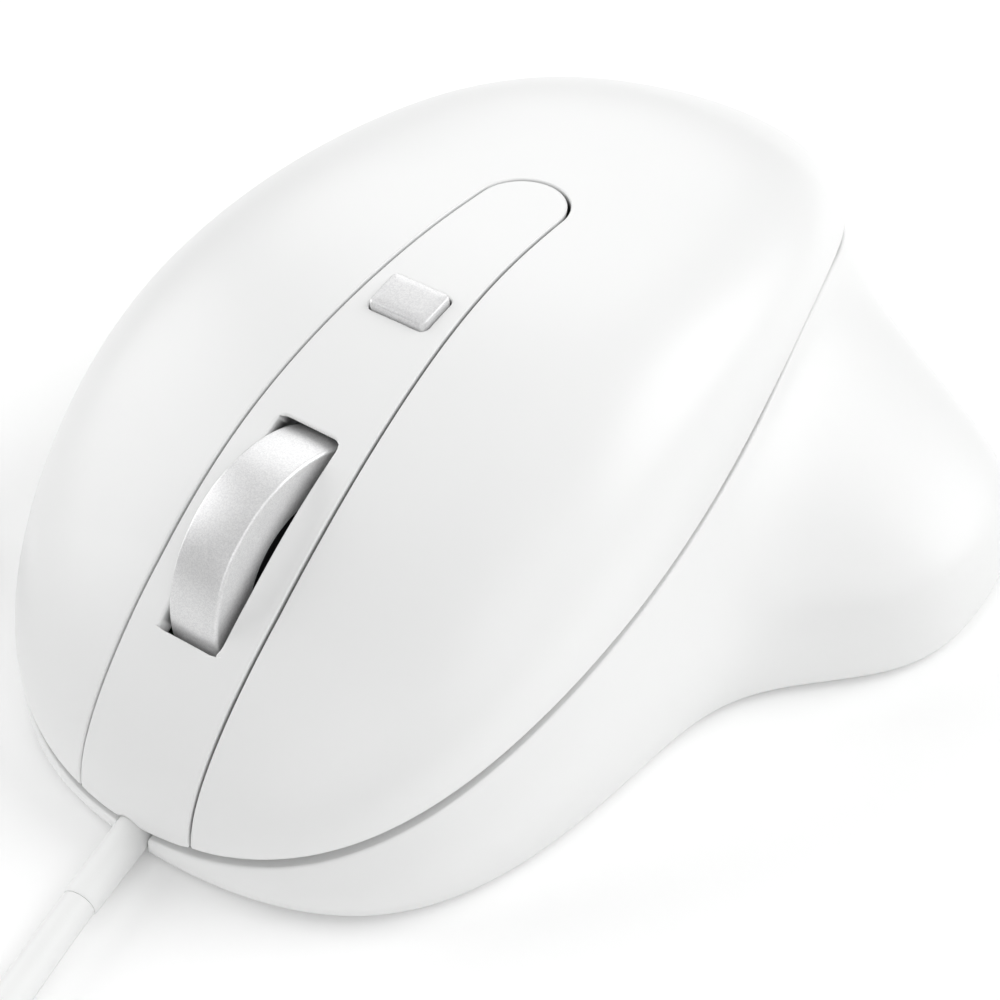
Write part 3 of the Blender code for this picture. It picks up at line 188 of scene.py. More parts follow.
rim_spline = natural_spline((-RIM_FRONT, *RIM_STATIONS, RIM_REAR), RIM_HEIGHTS)


def smooth_step(share):
    share = np.clip(share, 0, 1)
    return share * share * (3 - 2 * share)


def rim_level(y):
    return rim_spline(np.clip(y, -RIM_FRONT, RIM_REAR))


def rim_lean(x, y):
    """At the front the rim falls towards the finger side."""
    fade = smooth_step((RIM_LEAN_END - y) / (RIM_LEAN_END + RIM_FRONT))
    return RIM_LEAN * (x - RIM_LEVEL_X) * fade


def rim_plan(theta):
    cosine, sine = np.cos(theta), np.sin(theta)
    q = squircle_radius(1.0, RIM_SQUARENESS, cosine, sine)
    y = RIM_WIDEST + mobius_inverse(q * sine, RIM_REAR - RIM_WIDEST, RIM_WIDEST + RIM_FRONT)
    return mobius_inverse(q * cosine, thumb_width(y), finger_width(y)), y


def level_squared(x, y):
    v = mobius(y - RIM_WIDEST, RIM_REAR - RIM_WIDEST, RIM_WIDEST + RIM_FRONT)
    u = mobius(x, thumb_width(y), finger_width(y))
    return u * u + v * v - RIM_SQUARENESS * u * u * v * v


def dome_share(x, y):
    level = np.clip(level_squared(x, y), 0, 1)
    return np.sqrt(1 - level) * (1 + CROWN_FULLNESS * level)


dome_spline = natural_spline(CROWN_STATIONS, [
    (height - float(rim_level(y))) / float(dome_share(0.0, y))
    for y, height in zip(CROWN_STATIONS, CROWN_HEIGHTS)])


def dome_height(y):
    inside = np.clip(y, CROWN_STATIONS[0], CROWN_STATIONS[-1])
    slope = (dome_spline(inside + 0.01) - dome_spline(inside - 0.01)) / 0.02
    return dome_spline(inside) + slope * (np.asarray(y) - inside) * CROWN_RUNOUT


def cover_lean(x, y):
    return rim_lean(x, y) * np.clip(level_squared(x, y), 0, 1)


def cover_height(x, y):
    return rim_level(y) + cover_lean(x, y) + dome_height(y) * dome_share(x, y)


def unit(vectors):
    length = np.linalg.norm(vectors, axis=-1)[..., None]
    return vectors / np.maximum(length, 1e-12)


def cover_normal(x, y):
    """Unit normals of the cover, sound right up to the rim where the surface is upright."""
    step = 0.01
    level = np.clip(level_squared(x, y), 0, 1)
    q = np.sqrt(1 - level)
    level_x = (level_squared(x + step, y) - level_squared(x - step, y)) / (2 * step)
    level_y = (level_squared(x, y + step) - level_squared(x, y - step)) / (2 * step)
    share = q * (1 + CROWN_FULLNESS * level)
    share_slope = -(1 + CROWN_FULLNESS * level) / 2 + CROWN_FULLNESS * q * q
    rim_slope = (rim_level(y + step) + cover_lean(x, y + step)
                 - rim_level(y - step) - cover_lean(x, y - step)) / (2 * step)
    lean_slope = (cover_lean(x + step, y) - cover_lean(x - step, y)) / (2 * step)
    dome_slope = (dome_height(y + step) - dome_height(y - step)) / (2 * step)
    dome = dome_height(y)
    return unit(np.stack([-(lean_slope * q + dome * share_slope * level_x),
                          -(rim_slope * q + dome_slope * share * q + dome * share_slope * level_y),
                          q], -1))


def logistic(value):
    return 1 / (1 + np.exp(-value))


def base_plan(theta):
    cosine, sine = np.cos(theta), np.sin(theta)
    q = squircle_radius(1.0, BASE_SQUARENESS, cosine, sine)
    y = BASE_WIDEST + mobius_inverse(q * sine, BASE_REAR - BASE_WIDEST, BASE_WIDEST + BASE_FRONT)
    x = mobius_inverse(q * cosine, BASE_THUMB, BASE_FINGER)
    along = (logistic(2 * (y - SHELF_START) / SHELF_START_SPREAD)
             * logistic(2 * (SHELF_END - y) / SHELF_END_SPREAD))
    shelf = np.sqrt(np.clip(cosine, 0, 1)) * along
    return x + (SHELF_EDGE - x) * shelf, y, shelf


def side_top(x, y):
    drop = np.maximum(KEY_ROOT - y, 0) * math.tan(math.radians(KEY_PRESS_DEG))
    return rim_level(y) + rim_lean(x, y) - RIM_GAP - drop


def side_point(theta, share):
    """Outer surface of the lower body, from under the cover's rim (0) to the wall's foot (1)."""
    x_rim, y_rim = rim_plan(theta)
    x_base, y_base, shelf = base_plan(theta)
    top = side_top(x_rim, y_rim)
    z = top * (1 - share) + WALL_FOOT * share
    swell = np.clip(share / SHELF_SHOULDER, 0, 1)
    out = np.sin(math.pi / 2 * share) * (1 - shelf) + swell * swell * (3 - 2 * swell) * shelf
    tallness = np.clip((top - WALL_FOOT) / FULL_BULGE_HEIGHT, 0, 1)
    bulge = SIDE_BULGE * tallness * np.sin(math.pi * share) * (1 - shelf)
    x = x_rim * (1 - out) + x_base * out + bulge * np.cos(theta)
    y = y_rim * (1 - out) + y_base * out + bulge * np.sin(theta)
    return np.stack([x, y, z], -1)


strip_spline = natural_spline(
    (-RIM_FRONT, STRIP_STATION, (TIP_MIDDLE + STRIP_STATION) / 2 + 4.0, TIP_MIDDLE), STRIP_HALF_WIDTHS)


def strip_half(y, grow=0.0):
    """Half width of the strip's outline, grown by a margin."""
    y = np.asarray(y, float)
    over = np.clip((y - TIP_MIDDLE) / (TIP_RADIUS + grow), 0, 1)
    straight = strip_spline(np.clip(y, -RIM_FRONT, TIP_MIDDLE)) + grow
    return np.where(y > TIP_MIDDLE, (TIP_RADIUS + grow) * np.sqrt(1 - over**2), straight)


def solve(function, low, high, target, rounds=60):
    """Bisection for arrays; function rises from low to high."""
    low, high = np.broadcast_arrays(np.asarray(low, float), np.asarray(high, float))
    low, high = low.copy(), high.copy()
    for _ in range(rounds):
        middle = (low + high) / 2
        under = function(middle) < target
        low, high = np.where(under, middle, low), np.where(under, high, middle)
    return (low + high) / 2


# ------------------------------------------------------------------ mesh helpers

class Skin:
    """Collects patches of points with their normals and welds them into one mesh."""

    def __init__(self):
        self.points, self.normals, self.faces, self.size = [], [], [], 0

    def patch(self, points, normals, close=False, keep=None):
        """Quads between rows of points; keep(row, column) can leave a quad out."""
        rows, columns = points.shape[:2]
        self.points.append(points.reshape(-1, 3))
        self.normals.append(normals.reshape(-1, 3))
        for i in range(rows - 1):
            for j in range(columns if close else columns - 1):
                if keep is None or keep(i, j):
                    k = (j + 1) % columns
                    self.faces.append([self.size + i * columns + j, self.size + i * columns + k,
                                       self.size + (i + 1) * columns + k, self.size + (i + 1) * columns + j])
        self.size += rows * columns

    def build(self, name, own_normals=True):
        points, normals = np.concatenate(self.points), np.concatenate(self.normals)
        _, first, inverse = np.unique(np.round(points, 4), axis=0, return_index=True, return_inverse=True)
        inverse = inverse.ravel()
        merged = np.zeros((len(first), 3))
        np.add.at(merged, inverse, normals)
        merged, points = unit(merged), points[first]
        faces = []
        for face in self.faces:
            corners = []
            for index in inverse[face]:
                if index not in corners:
                    corners.append(int(index))
            if len(corners) < 3:
                continue
            a, b, c = points[corners[0]], points[corners[1]], points[corners[2]]
            turn = np.cross(b - a, c - a)
            if len(corners) == 4:
                turn = turn + np.cross(c - a, points[corners[3]] - a)
            if turn @ merged[corners].sum(0) < 0:
                corners.reverse()
            faces.append(corners)
        mesh = bpy.data.meshes.new(name)
        mesh.from_pydata([tuple(p) for p in place(points)], [], faces)
        mesh.shade_smooth()
        if own_normals:
            mesh.normals_split_custom_set_from_vertices([tuple(n) for n in merged])
        made = bpy.data.objects.new(name, mesh)
        bpy.context.scene.collection.objects.link(made)
        return made


def roll(points, normals, outward, radius, steps=4):
    """Rows that turn from the surface over a rounded edge; outward points out of the patch."""
    outward = unit(outward - (outward * normals).sum(-1)[..., None] * normals)
    radius = np.broadcast_to(np.asarray(radius, float), points.shape[:-1])[..., None]
    middle = points - radius * normals
    rows, facing = [], []
    for step in range(steps + 1):
        turn = math.pi / 2 * step / steps
        direction = math.cos(turn) * normals + math.sin(turn) * outward
        rows.append(middle + radius * direction)
        facing.append(direction)
    return np.array(rows), np.array(facing)


def plan_side(points, closed=False):
    """Unit vectors in plan to the right of the way along a line of points."""
    if closed:
        along = np.roll(points, -1, 0) - np.roll(points, 1, 0)
    else:
        along = np.gradient(points, axis=0)
    return unit(np.stack([along[:, 1], -along[:, 0], np.zeros(len(points))], -1))


def finished(made, material, body="root", nodes=()):
    made.data.materials.clear()
    made.data.materials.append(material)
    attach(made, body)
    if nodes:
        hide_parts(*nodes)
    return made


def add_shell(skin, outer, normals, wall, keep=None):
    """Outer and inner surface of an even wall."""
    skin.patch(outer, normals, keep=keep)
    skin.patch(outer - wall * normals, -normals, keep=keep)


def add_edge(skin, points, normals, outward, radius, wall, close=False):
    """A rounded edge that runs down to the inner surface."""
    rows, facing = roll(points, normals, outward, radius)
    inner = points - wall * normals
    skin.patch(np.concatenate([rows, inner[None]]), np.concatenate([facing, facing[-1:]]), close=close)


def solid(name, points, faces, angle=35):
    mesh = bpy.data.meshes.new(name)
    mesh.from_pydata([tuple(p) for p in place(points)], [], [tuple(f) for f in faces])
    form = bmesh.new()
    form.from_mesh(mesh)
    bmesh.ops.recalc_face_normals(form, faces=form.faces)
    form.to_mesh(mesh)
    form.free()
    mesh.shade_smooth()
    mesh.set_sharp_from_angle(angle=math.radians(angle))
    made = bpy.data.objects.new(name, mesh)
    bpy.context.scene.collection.objects.link(made)
    return made


def loft(name, rings, ends="flat", angle=35):
    """A solid through rings; its ends are flat, or it is wrapped into a ring with no ends."""
    rings = [np.asarray(ring, float) for ring in rings]
    count, total = len(rings[0]), len(rings)
    faces = []
    for i in range(total if ends == "wrapped" else total - 1):
        a, b = i * count, (i + 1) % total * count
        faces += [(a + k, a + (k + 1) % count, b + (k + 1) % count, b + k) for k in range(count)]
    if ends == "flat":
        faces += [range(count - 1, -1, -1), range((total - 1) * count, total * count)]
    return solid(name, np.concatenate(rings), faces, angle)


def carve(target, tool):
    """Cut the tool out of the target; the tool is used up."""
    modifier = target.modifiers.new("carve", "BOOLEAN")
    modifier.operation, modifier.solver, modifier.object = "DIFFERENCE", "EXACT", tool
    bpy.context.view_layer.update()
    graph = bpy.context.evaluated_depsgraph_get()
    baked = bpy.data.meshes.new_from_object(target.evaluated_get(graph), depsgraph=graph)
    target.modifiers.clear()
    target.data = baked
    bpy.data.objects.remove(tool, do_unlink=True)
    return target


def rounded_outline(cx, cy, size_x, size_y, radius, steps=8):
    outline = []
    for corner, (sx, sy) in enumerate(((1, 1), (-1, 1), (-1, -1), (1, -1))):
        for step in range(steps + 1):
            turn = math.radians(90 * (corner + step / steps))
            outline.append((cx + sx * (size_x / 2 - radius) + radius * math.cos(turn),
                            cy + sy * (size_y / 2 - radius) + radius * math.sin(turn)))
    return np.array(outline)


def turned_rings(profile, centre, axis, sides):
    along = np.array(axis, float) / np.linalg.norm(axis)
    across = np.array(Vector(axis).orthogonal().normalized())
    third = np.cross(along, across)
    turn = np.linspace(0, 2 * math.pi, sides, endpoint=False)[:, None]
    return [np.asarray(centre) + along * travel + radius * (np.cos(turn) * across + np.sin(turn) * third)
            for radius, travel in profile]


def make_camera():
    azimuth, elevation, tilt = CAMERA_AZIMUTH, CAMERA_ELEVATION, CAMERA_TILT
    back = Vector((math.sin(azimuth) * math.cos(elevation), -math.cos(azimuth) * math.cos(elevation),
                   math.sin(elevation)))
    right = Vector((math.cos(azimuth), math.sin(azimuth), 0))
    up = back.cross(right)
    turned_right = right * math.cos(tilt) + up * math.sin(tilt)
    turned_up = up * math.cos(tilt) - right * math.sin(tilt)
    target = Vector(place(CAMERA_TARGET))
    camera = bpy.data.objects.new("camera", bpy.data.cameras.new("camera"))
    camera.data.sensor_width = 36.0
    camera.data.lens = CAMERA_LENS
    camera.data.clip_start = 0.005
    spot = target + back * CAMERA_DISTANCE * MM
    camera.matrix_world = Matrix((
        (turned_right.x, turned_up.x, back.x, spot.x), (turned_right.y, turned_up.y, back.y, spot.y),
        (turned_right.z, turned_up.z, back.z, spot.z), (0, 0, 0, 1)))
    bpy.context.scene.collection.objects.link(camera)
    bpy.context.scene.camera = camera


# ------------------------------------------------------------------ materials

def new_material(name, roughness, metallic=0.0):
    made = bpy.data.materials.new(name)
    made.use_nodes = True
    shader = made.node_tree.nodes["Principled BSDF"]
    shader.inputs["Roughness"].default_value = roughness
    shader.inputs["Metallic"].default_value = metallic
    return made, made.node_tree, shader


def add_node(tree, kind, **settings):
    made = tree.nodes.new(kind)
    for key, value in settings.items():
        if key in made.inputs:
            made.inputs[key].default_value = value
        else:
            setattr(made, key, value)
    return made


def noise(tree, scale, detail=3.0, rough=0.5):
    space = add_node(tree, "ShaderNodeTexCoord")
    made = tree.nodes.new("ShaderNodeTexNoise")
    made.inputs["Scale"].default_value = scale
    made.inputs["Detail"].default_value = detail
    made.inputs["Roughness"].default_value = rough
    tree.links.new(space.outputs["Object"], made.inputs["Vector"])
    return made


def ramp(tree, source, low, high, first, second):
    made = tree.nodes.new("ShaderNodeValToRGB")
    made.color_ramp.elements[0].position, made.color_ramp.elements[1].position = low, high
    made.color_ramp.elements[0].color, made.color_ramp.elements[1].color = first, second
    tree.links.new(source, made.inputs["Fac"])
    return made.outputs["Color"]


def vary(tree, source, low, high, out_low, out_high):
    made = tree.nodes.new("ShaderNodeMapRange")
    for key, value in zip(("From Min", "From Max", "To Min", "To Max"), (low, high, out_low, out_high)):
        made.inputs[key].default_value = value
    tree.links.new(source, made.inputs["Value"])
    return made.outputs["Result"]


def bump(tree, shader, source, strength, distance):
    made = tree.nodes.new("ShaderNodeBump")
    made.inputs["Strength"].default_value = strength
    made.inputs["Distance"].default_value = distance
    tree.links.new(source, made.inputs["Height"])
    tree.links.new(made.outputs["Normal"], shader.inputs["Normal"])


def moulded(name, colour, roughness=0.4, grain=2600.0, depth=0.00001, spread=0.03, coat=0.0, gloss=0.5):
    """Moulded plastic: a fine spark-eroded grain, a faint cloudiness and uneven gloss."""
    made, tree, shader = new_material(name, roughness)
    cloud = noise(tree, 60.0, 4.0)
    darker = tuple(c * (1 - spread) for c in colour)
    tree.links.new(ramp(tree, cloud.outputs["Fac"], 0.3, 0.7, (*darker, 1), (*colour, 1)),
                   shader.inputs["Base Color"])
    fine = noise(tree, grain, 2.0)
    tree.links.new(vary(tree, fine.outputs["Fac"], 0.3, 0.7, roughness - 0.04, roughness + 0.05),
                   shader.inputs["Roughness"])
    bump(tree, shader, fine.outputs["Fac"], 0.25, depth)
    shader.inputs["Specular IOR Level"].default_value = gloss
    shader.inputs["Coat Weight"].default_value = coat
    return made


def silver_paint(name):
    """Silver paint on plastic: small bright and dull flakes under a satin coat."""
    made, tree, shader = new_material(name, 0.4, 0.6)
    space = add_node(tree, "ShaderNodeTexCoord")
    flake = tree.nodes.new("ShaderNodeTexVoronoi")
    flake.inputs["Scale"].default_value = 9000.0
    tree.links.new(space.outputs["Object"], flake.inputs["Vector"])
    tint = tree.nodes.new("ShaderNodeSeparateColor")
    tree.links.new(flake.outputs["Color"], tint.inputs["Color"])
    tree.links.new(ramp(tree, tint.outputs["Red"], 0.1, 0.95, (0.74, 0.74, 0.745, 1), (0.86, 0.86, 0.86, 1)),
                   shader.inputs["Base Color"])
    tree.links.new(vary(tree, tint.outputs["Green"], 0, 1, 0.36, 0.5), shader.inputs["Roughness"])
    bump(tree, shader, tint.outputs["Blue"], 0.05, 0.00001)
    return made


def steel(name):
    """Plated steel with drawn lines along the plug."""
    made, tree, shader = new_material(name, 0.25, 1.0)
    space = add_node(tree, "ShaderNodeTexCoord")
    stretch = tree.nodes.new("ShaderNodeMapping")
    stretch.inputs["Scale"].default_value = (6000, 120, 6000)
    tree.links.new(space.outputs["Object"], stretch.inputs["Vector"])
    lines = tree.nodes.new("ShaderNodeTexNoise")
    lines.inputs["Scale"].default_value = 1.0
    tree.links.new(stretch.outputs["Vector"], lines.inputs["Vector"])
    tree.links.new(ramp(tree, lines.outputs["Fac"], 0.35, 0.65, (0.5, 0.5, 0.51, 1), (0.72, 0.72, 0.73, 1)),
                   shader.inputs["Base Color"])
    tree.links.new(vary(tree, lines.outputs["Fac"], 0.3, 0.7, 0.2, 0.36), shader.inputs["Roughness"])
    return made


def board(name):
    """Green solder mask over faint copper tracks."""
    made, tree, shader = new_material(name, 0.35)
    space = add_node(tree, "ShaderNodeTexCoord")
    tracks = add_node(tree, "ShaderNodeTexBrick")
    tracks.inputs["Scale"].default_value = 260.0
    tracks.inputs["Mortar Size"].default_value = 0.06
    tracks.inputs["Color1"].default_value = (0.015, 0.12, 0.05, 1)
    tracks.inputs["Color2"].default_value = (0.012, 0.1, 0.045, 1)
    tracks.inputs["Mortar"].default_value = (0.03, 0.22, 0.09, 1)
    tree.links.new(space.outputs["Object"], tracks.inputs["Vector"])
    tree.links.new(tracks.outputs["Color"], shader.inputs["Base Color"])
    shader.inputs["Coat Weight"].default_value = 0.4
    return made


def clear(name):
    made, tree, shader = new_material(name, 0.06)
    cloud = noise(tree, 300.0)
    tree.links.new(vary(tree, cloud.outputs["Fac"], 0.3, 0.7, 0.03, 0.12), shader.inputs["Roughness"])
    shader.inputs["Base Color"].default_value = (0.93, 0.95, 0.96, 1)
    shader.inputs["Transmission Weight"].default_value = 0.85
    shader.inputs["IOR"].default_value = 1.49
    return made


WHITE = moulded("white_shell_look", (0.84, 0.843, 0.84), 0.36, spread=0.012)
BODY_WHITE = moulded("white_body_look", (0.84, 0.843, 0.84), 0.42, spread=0.012)
SILVER = silver_paint("satin_silver_look")
DARK = moulded("dark_plastic_look", (0.03, 0.03, 0.032), 0.48, spread=0.25)
GREY = moulded("grey_plastic_look", (0.3, 0.31, 0.32), 0.5, spread=0.12)
BOARD = board("board_look")
CLEAR = clear("clear_lens_look")
JACKET = moulded("cable_jacket_look", (0.84, 0.845, 0.84), 0.45, grain=1500.0, spread=0.02)
FOOT = moulded("slip_foot_look", (0.8, 0.8, 0.78), 0.3, grain=900.0, spread=0.04)
STEEL = steel("plated_steel_look")
TIE = moulded("tie_look", (0.035, 0.035, 0.037), 0.6, grain=1800.0, depth=0.00004, spread=0.3)


# ------------------------------------------------------------------ cover and buttons

def rays(starts, rim_angles):
    """Points from the strip's seam out to the rim, crowded where the dome turns upright."""
    start_x, start_y = starts[:, 0], starts[:, 1]
    rim_x, rim_y = rim_plan(rim_angles)

    def fall(share):
        x, y = start_x + (rim_x - start_x) * share, start_y + (rim_y - start_y) * share
        return -dome_height(y) * dome_share(x, y)
    reach = solve(fall, np.full(len(start_x), 0.3), np.ones(len(start_x)), -RIM_ROUND)
    share = np.sin(np.linspace(0, math.pi / 2, ACROSS))[:, None] * reach
    x, y = start_x + (rim_x - start_x) * share, start_y + (rim_y - start_y) * share
    return np.stack([x, y, cover_height(x, y)], -1), cover_normal(x, y)


def split_angles():
    """Rim angle and tip angle at which the palm cover and the buttons meet."""
    rim = float(solve(lambda t: rim_plan(t)[1], 0.0, math.pi / 2, SPLIT_Y))
    return rim, math.asin((SPLIT_Y - TIP_MIDDLE) / (TIP_RADIUS + EDGE))


def tip_points(angles):
    radius = TIP_RADIUS + EDGE
    return np.stack([radius * np.cos(angles), TIP_MIDDLE + radius * np.sin(angles)], -1)


def square_post(skin, x, y, half, bottom):
    """The post under a button that presses its switch."""
    corners = np.array((x, y)) + half * np.array([(-1, -1), (1, -1), (1, 1), (-1, 1)])
    rings = []
    for inset, z in ((0.3, bottom), (0.0, bottom + 0.3), (0.0, None)):
        ring = corners + (np.array((x, y)) - corners) * inset / half
        top = cover_height(ring[:, 0], ring[:, 1]) - COVER_WALL - 0.05 if z is None else np.full(4, z)
        rings.append(np.column_stack([ring, top]))
    rings = np.array([np.tile([x, y, bottom], (4, 1))] + rings)
    outward = unit(rings - np.array([x, y, bottom + 4.0]))
    skin.patch(rings, outward, close=True)


def make_button(name, side, body):
    """Main button's shell, from its shared line with the palm cover to the front rim."""
    rim_split, tip_split = split_angles()
    corner = float(solve(lambda t: rim_plan(t)[0] - strip_half(rim_plan(t)[1], EDGE),
                         -math.pi / 2, -0.6, 0.0))
    front = float(rim_plan(corner)[1]) + FRONT_SETBACK
    bend = tip_points(np.linspace(tip_split, 0, 7))
    ahead = TIP_MIDDLE - (TIP_MIDDLE - front) * np.linspace(0, 1, 105)[1:]
    starts = np.concatenate([bend, np.stack([strip_half(ahead, EDGE), ahead], -1)])
    rim_angles = np.linspace(rim_split, corner, len(starts))
    if side < 0:
        starts = starts * (-1, 1)
        corner = float(solve(lambda t: strip_half(rim_plan(t)[1], EDGE) + rim_plan(t)[0],
                             -math.pi + 0.6, -math.pi / 2, 0.0))
        rim_angles = np.linspace(math.pi - rim_split, 2 * math.pi + corner, len(starts))
    outer, normals = rays(starts, rim_angles)
    skin = Skin()
    add_shell(skin, outer, normals, COVER_WALL)
    seam = np.concatenate([outer[0], outer[1:, -1]])
    seam_normals = np.concatenate([normals[0], normals[1:, -1]])
    seam_out = plan_side(seam) * side
    seam_out[len(starts) - 1:] = seam_out[len(starts) - 2]
    rim = outer[-1][::-1][1:]
    line = np.concatenate([seam, rim])
    line_normals = np.concatenate([seam_normals, normals[-1][::-1][1:]])
    down = np.tile([0.0, 0.0, -1.0], (len(rim), 1))
    outward = np.concatenate([seam_out, down])
    last = len(seam) - 1
    outward[last] = unit(outward[last] + [0, 0, -1])
    radius = np.concatenate([np.full(len(seam), SEAM_ROUND), np.full(len(rim), RIM_ROUND)])
    blend_count = 6
    radius[last - blend_count:last] = SEAM_ROUND
    radius[last:last + blend_count] = np.linspace(SEAM_ROUND, RIM_ROUND, blend_count)
    add_edge(skin, line, line_normals, outward, radius, COVER_WALL)
    plunger_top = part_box(f"{body.split('_')[0]}_switch_plunger")[1].z / MM
    square_post(skin, side * POST_X, POST_Y, POST_HALF, plunger_top + POST_GAP)
    made = skin.build(name)
    made.data.materials.append(WHITE)
    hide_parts(body)
    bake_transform(made)
    return made


def make_palm_cover():
    rim_split, tip_split = split_angles()
    turns = np.linspace(tip_split, math.pi - tip_split, 121)
    angles = np.linspace(rim_split, math.pi - rim_split, 121)
    outer, normals = rays(tip_points(turns), angles)
    skin = Skin()
    add_shell(skin, outer, normals, COVER_WALL)
    add_edge(skin, outer[0], normals[0], -plan_side(outer[0]), SEAM_ROUND, COVER_WALL)
    add_edge(skin, outer[-1], normals[-1], np.tile([0.0, 0.0, -1.0], (121, 1)), RIM_ROUND, COVER_WALL)
    turn = np.linspace(0, 2 * math.pi, 33)[:-1]
    boss = []
    for radius, z in ((BOSS_HOLE, BOSS_BOTTOM), (BOSS_RADIUS - 0.2, BOSS_BOTTOM),
                      (BOSS_RADIUS, BOSS_BOTTOM + 0.2), (BOSS_RADIUS, None)):
        x, y = radius * np.cos(turn), SCREW_Y + radius * np.sin(turn)
        top = cover_height(x, y) - COVER_WALL - 0.05 if z is None else np.full(len(turn), z)
        boss.append(np.column_stack([x, y, top]))
    boss = np.array(boss)
    skin.patch(boss, unit(boss - np.array([0, SCREW_Y, BOSS_BOTTOM + 6.0])), close=True)
    made = skin.build("palm_shell")
    return finished(made, WHITE, "root", ["palm_cover"])


# ------------------------------------------------------------------ centre strip

def sleeve_point(reach):
    """Point on the sleeve's axis at a distance outside the front wall."""
    return np.array([0.0, -BASE_FRONT, EXIT_HEIGHT]) + reach * SLEEVE_AXIS


def sleeve_hole():
    rings = turned_rings([(SLEEVE_HOLE, -8), (SLEEVE_HOLE, 8)], sleeve_point(0), SLEEVE_AXIS, 48)
    return loft("sleeve_hole", rings)


def hole_half(y, middle, half_length, half_width, corner):
    """Half width of a rounded hole at a place along it."""
    depth = half_length - np.abs(y - middle)
    turn = np.clip(1 - depth / corner, 0, 1)
    return half_width - corner + corner * np.sqrt(1 - turn**2)


def hole_band(stations, hole):
    """Which places lie in a hole, and the hole's half width there."""
    start, end, half_width, corner = hole
    inside = (stations > start - 1e-9) & (stations < end + 1e-9)
    return inside, hole_half(stations, (start + end) / 2, (end - start) / 2, half_width, corner)


def arc_stations(start, end, corner, straight):
    """Places along a rounded hole, crowded at its corners."""
    turns = np.linspace(0, math.pi / 2, 6)
    first = start + corner * (1 - np.cos(turns))
    middle = np.linspace(start + corner, end - corner, straight)[1:-1]
    return np.concatenate([first, middle, (end - corner * (1 - np.cos(turns)))[::-1]])


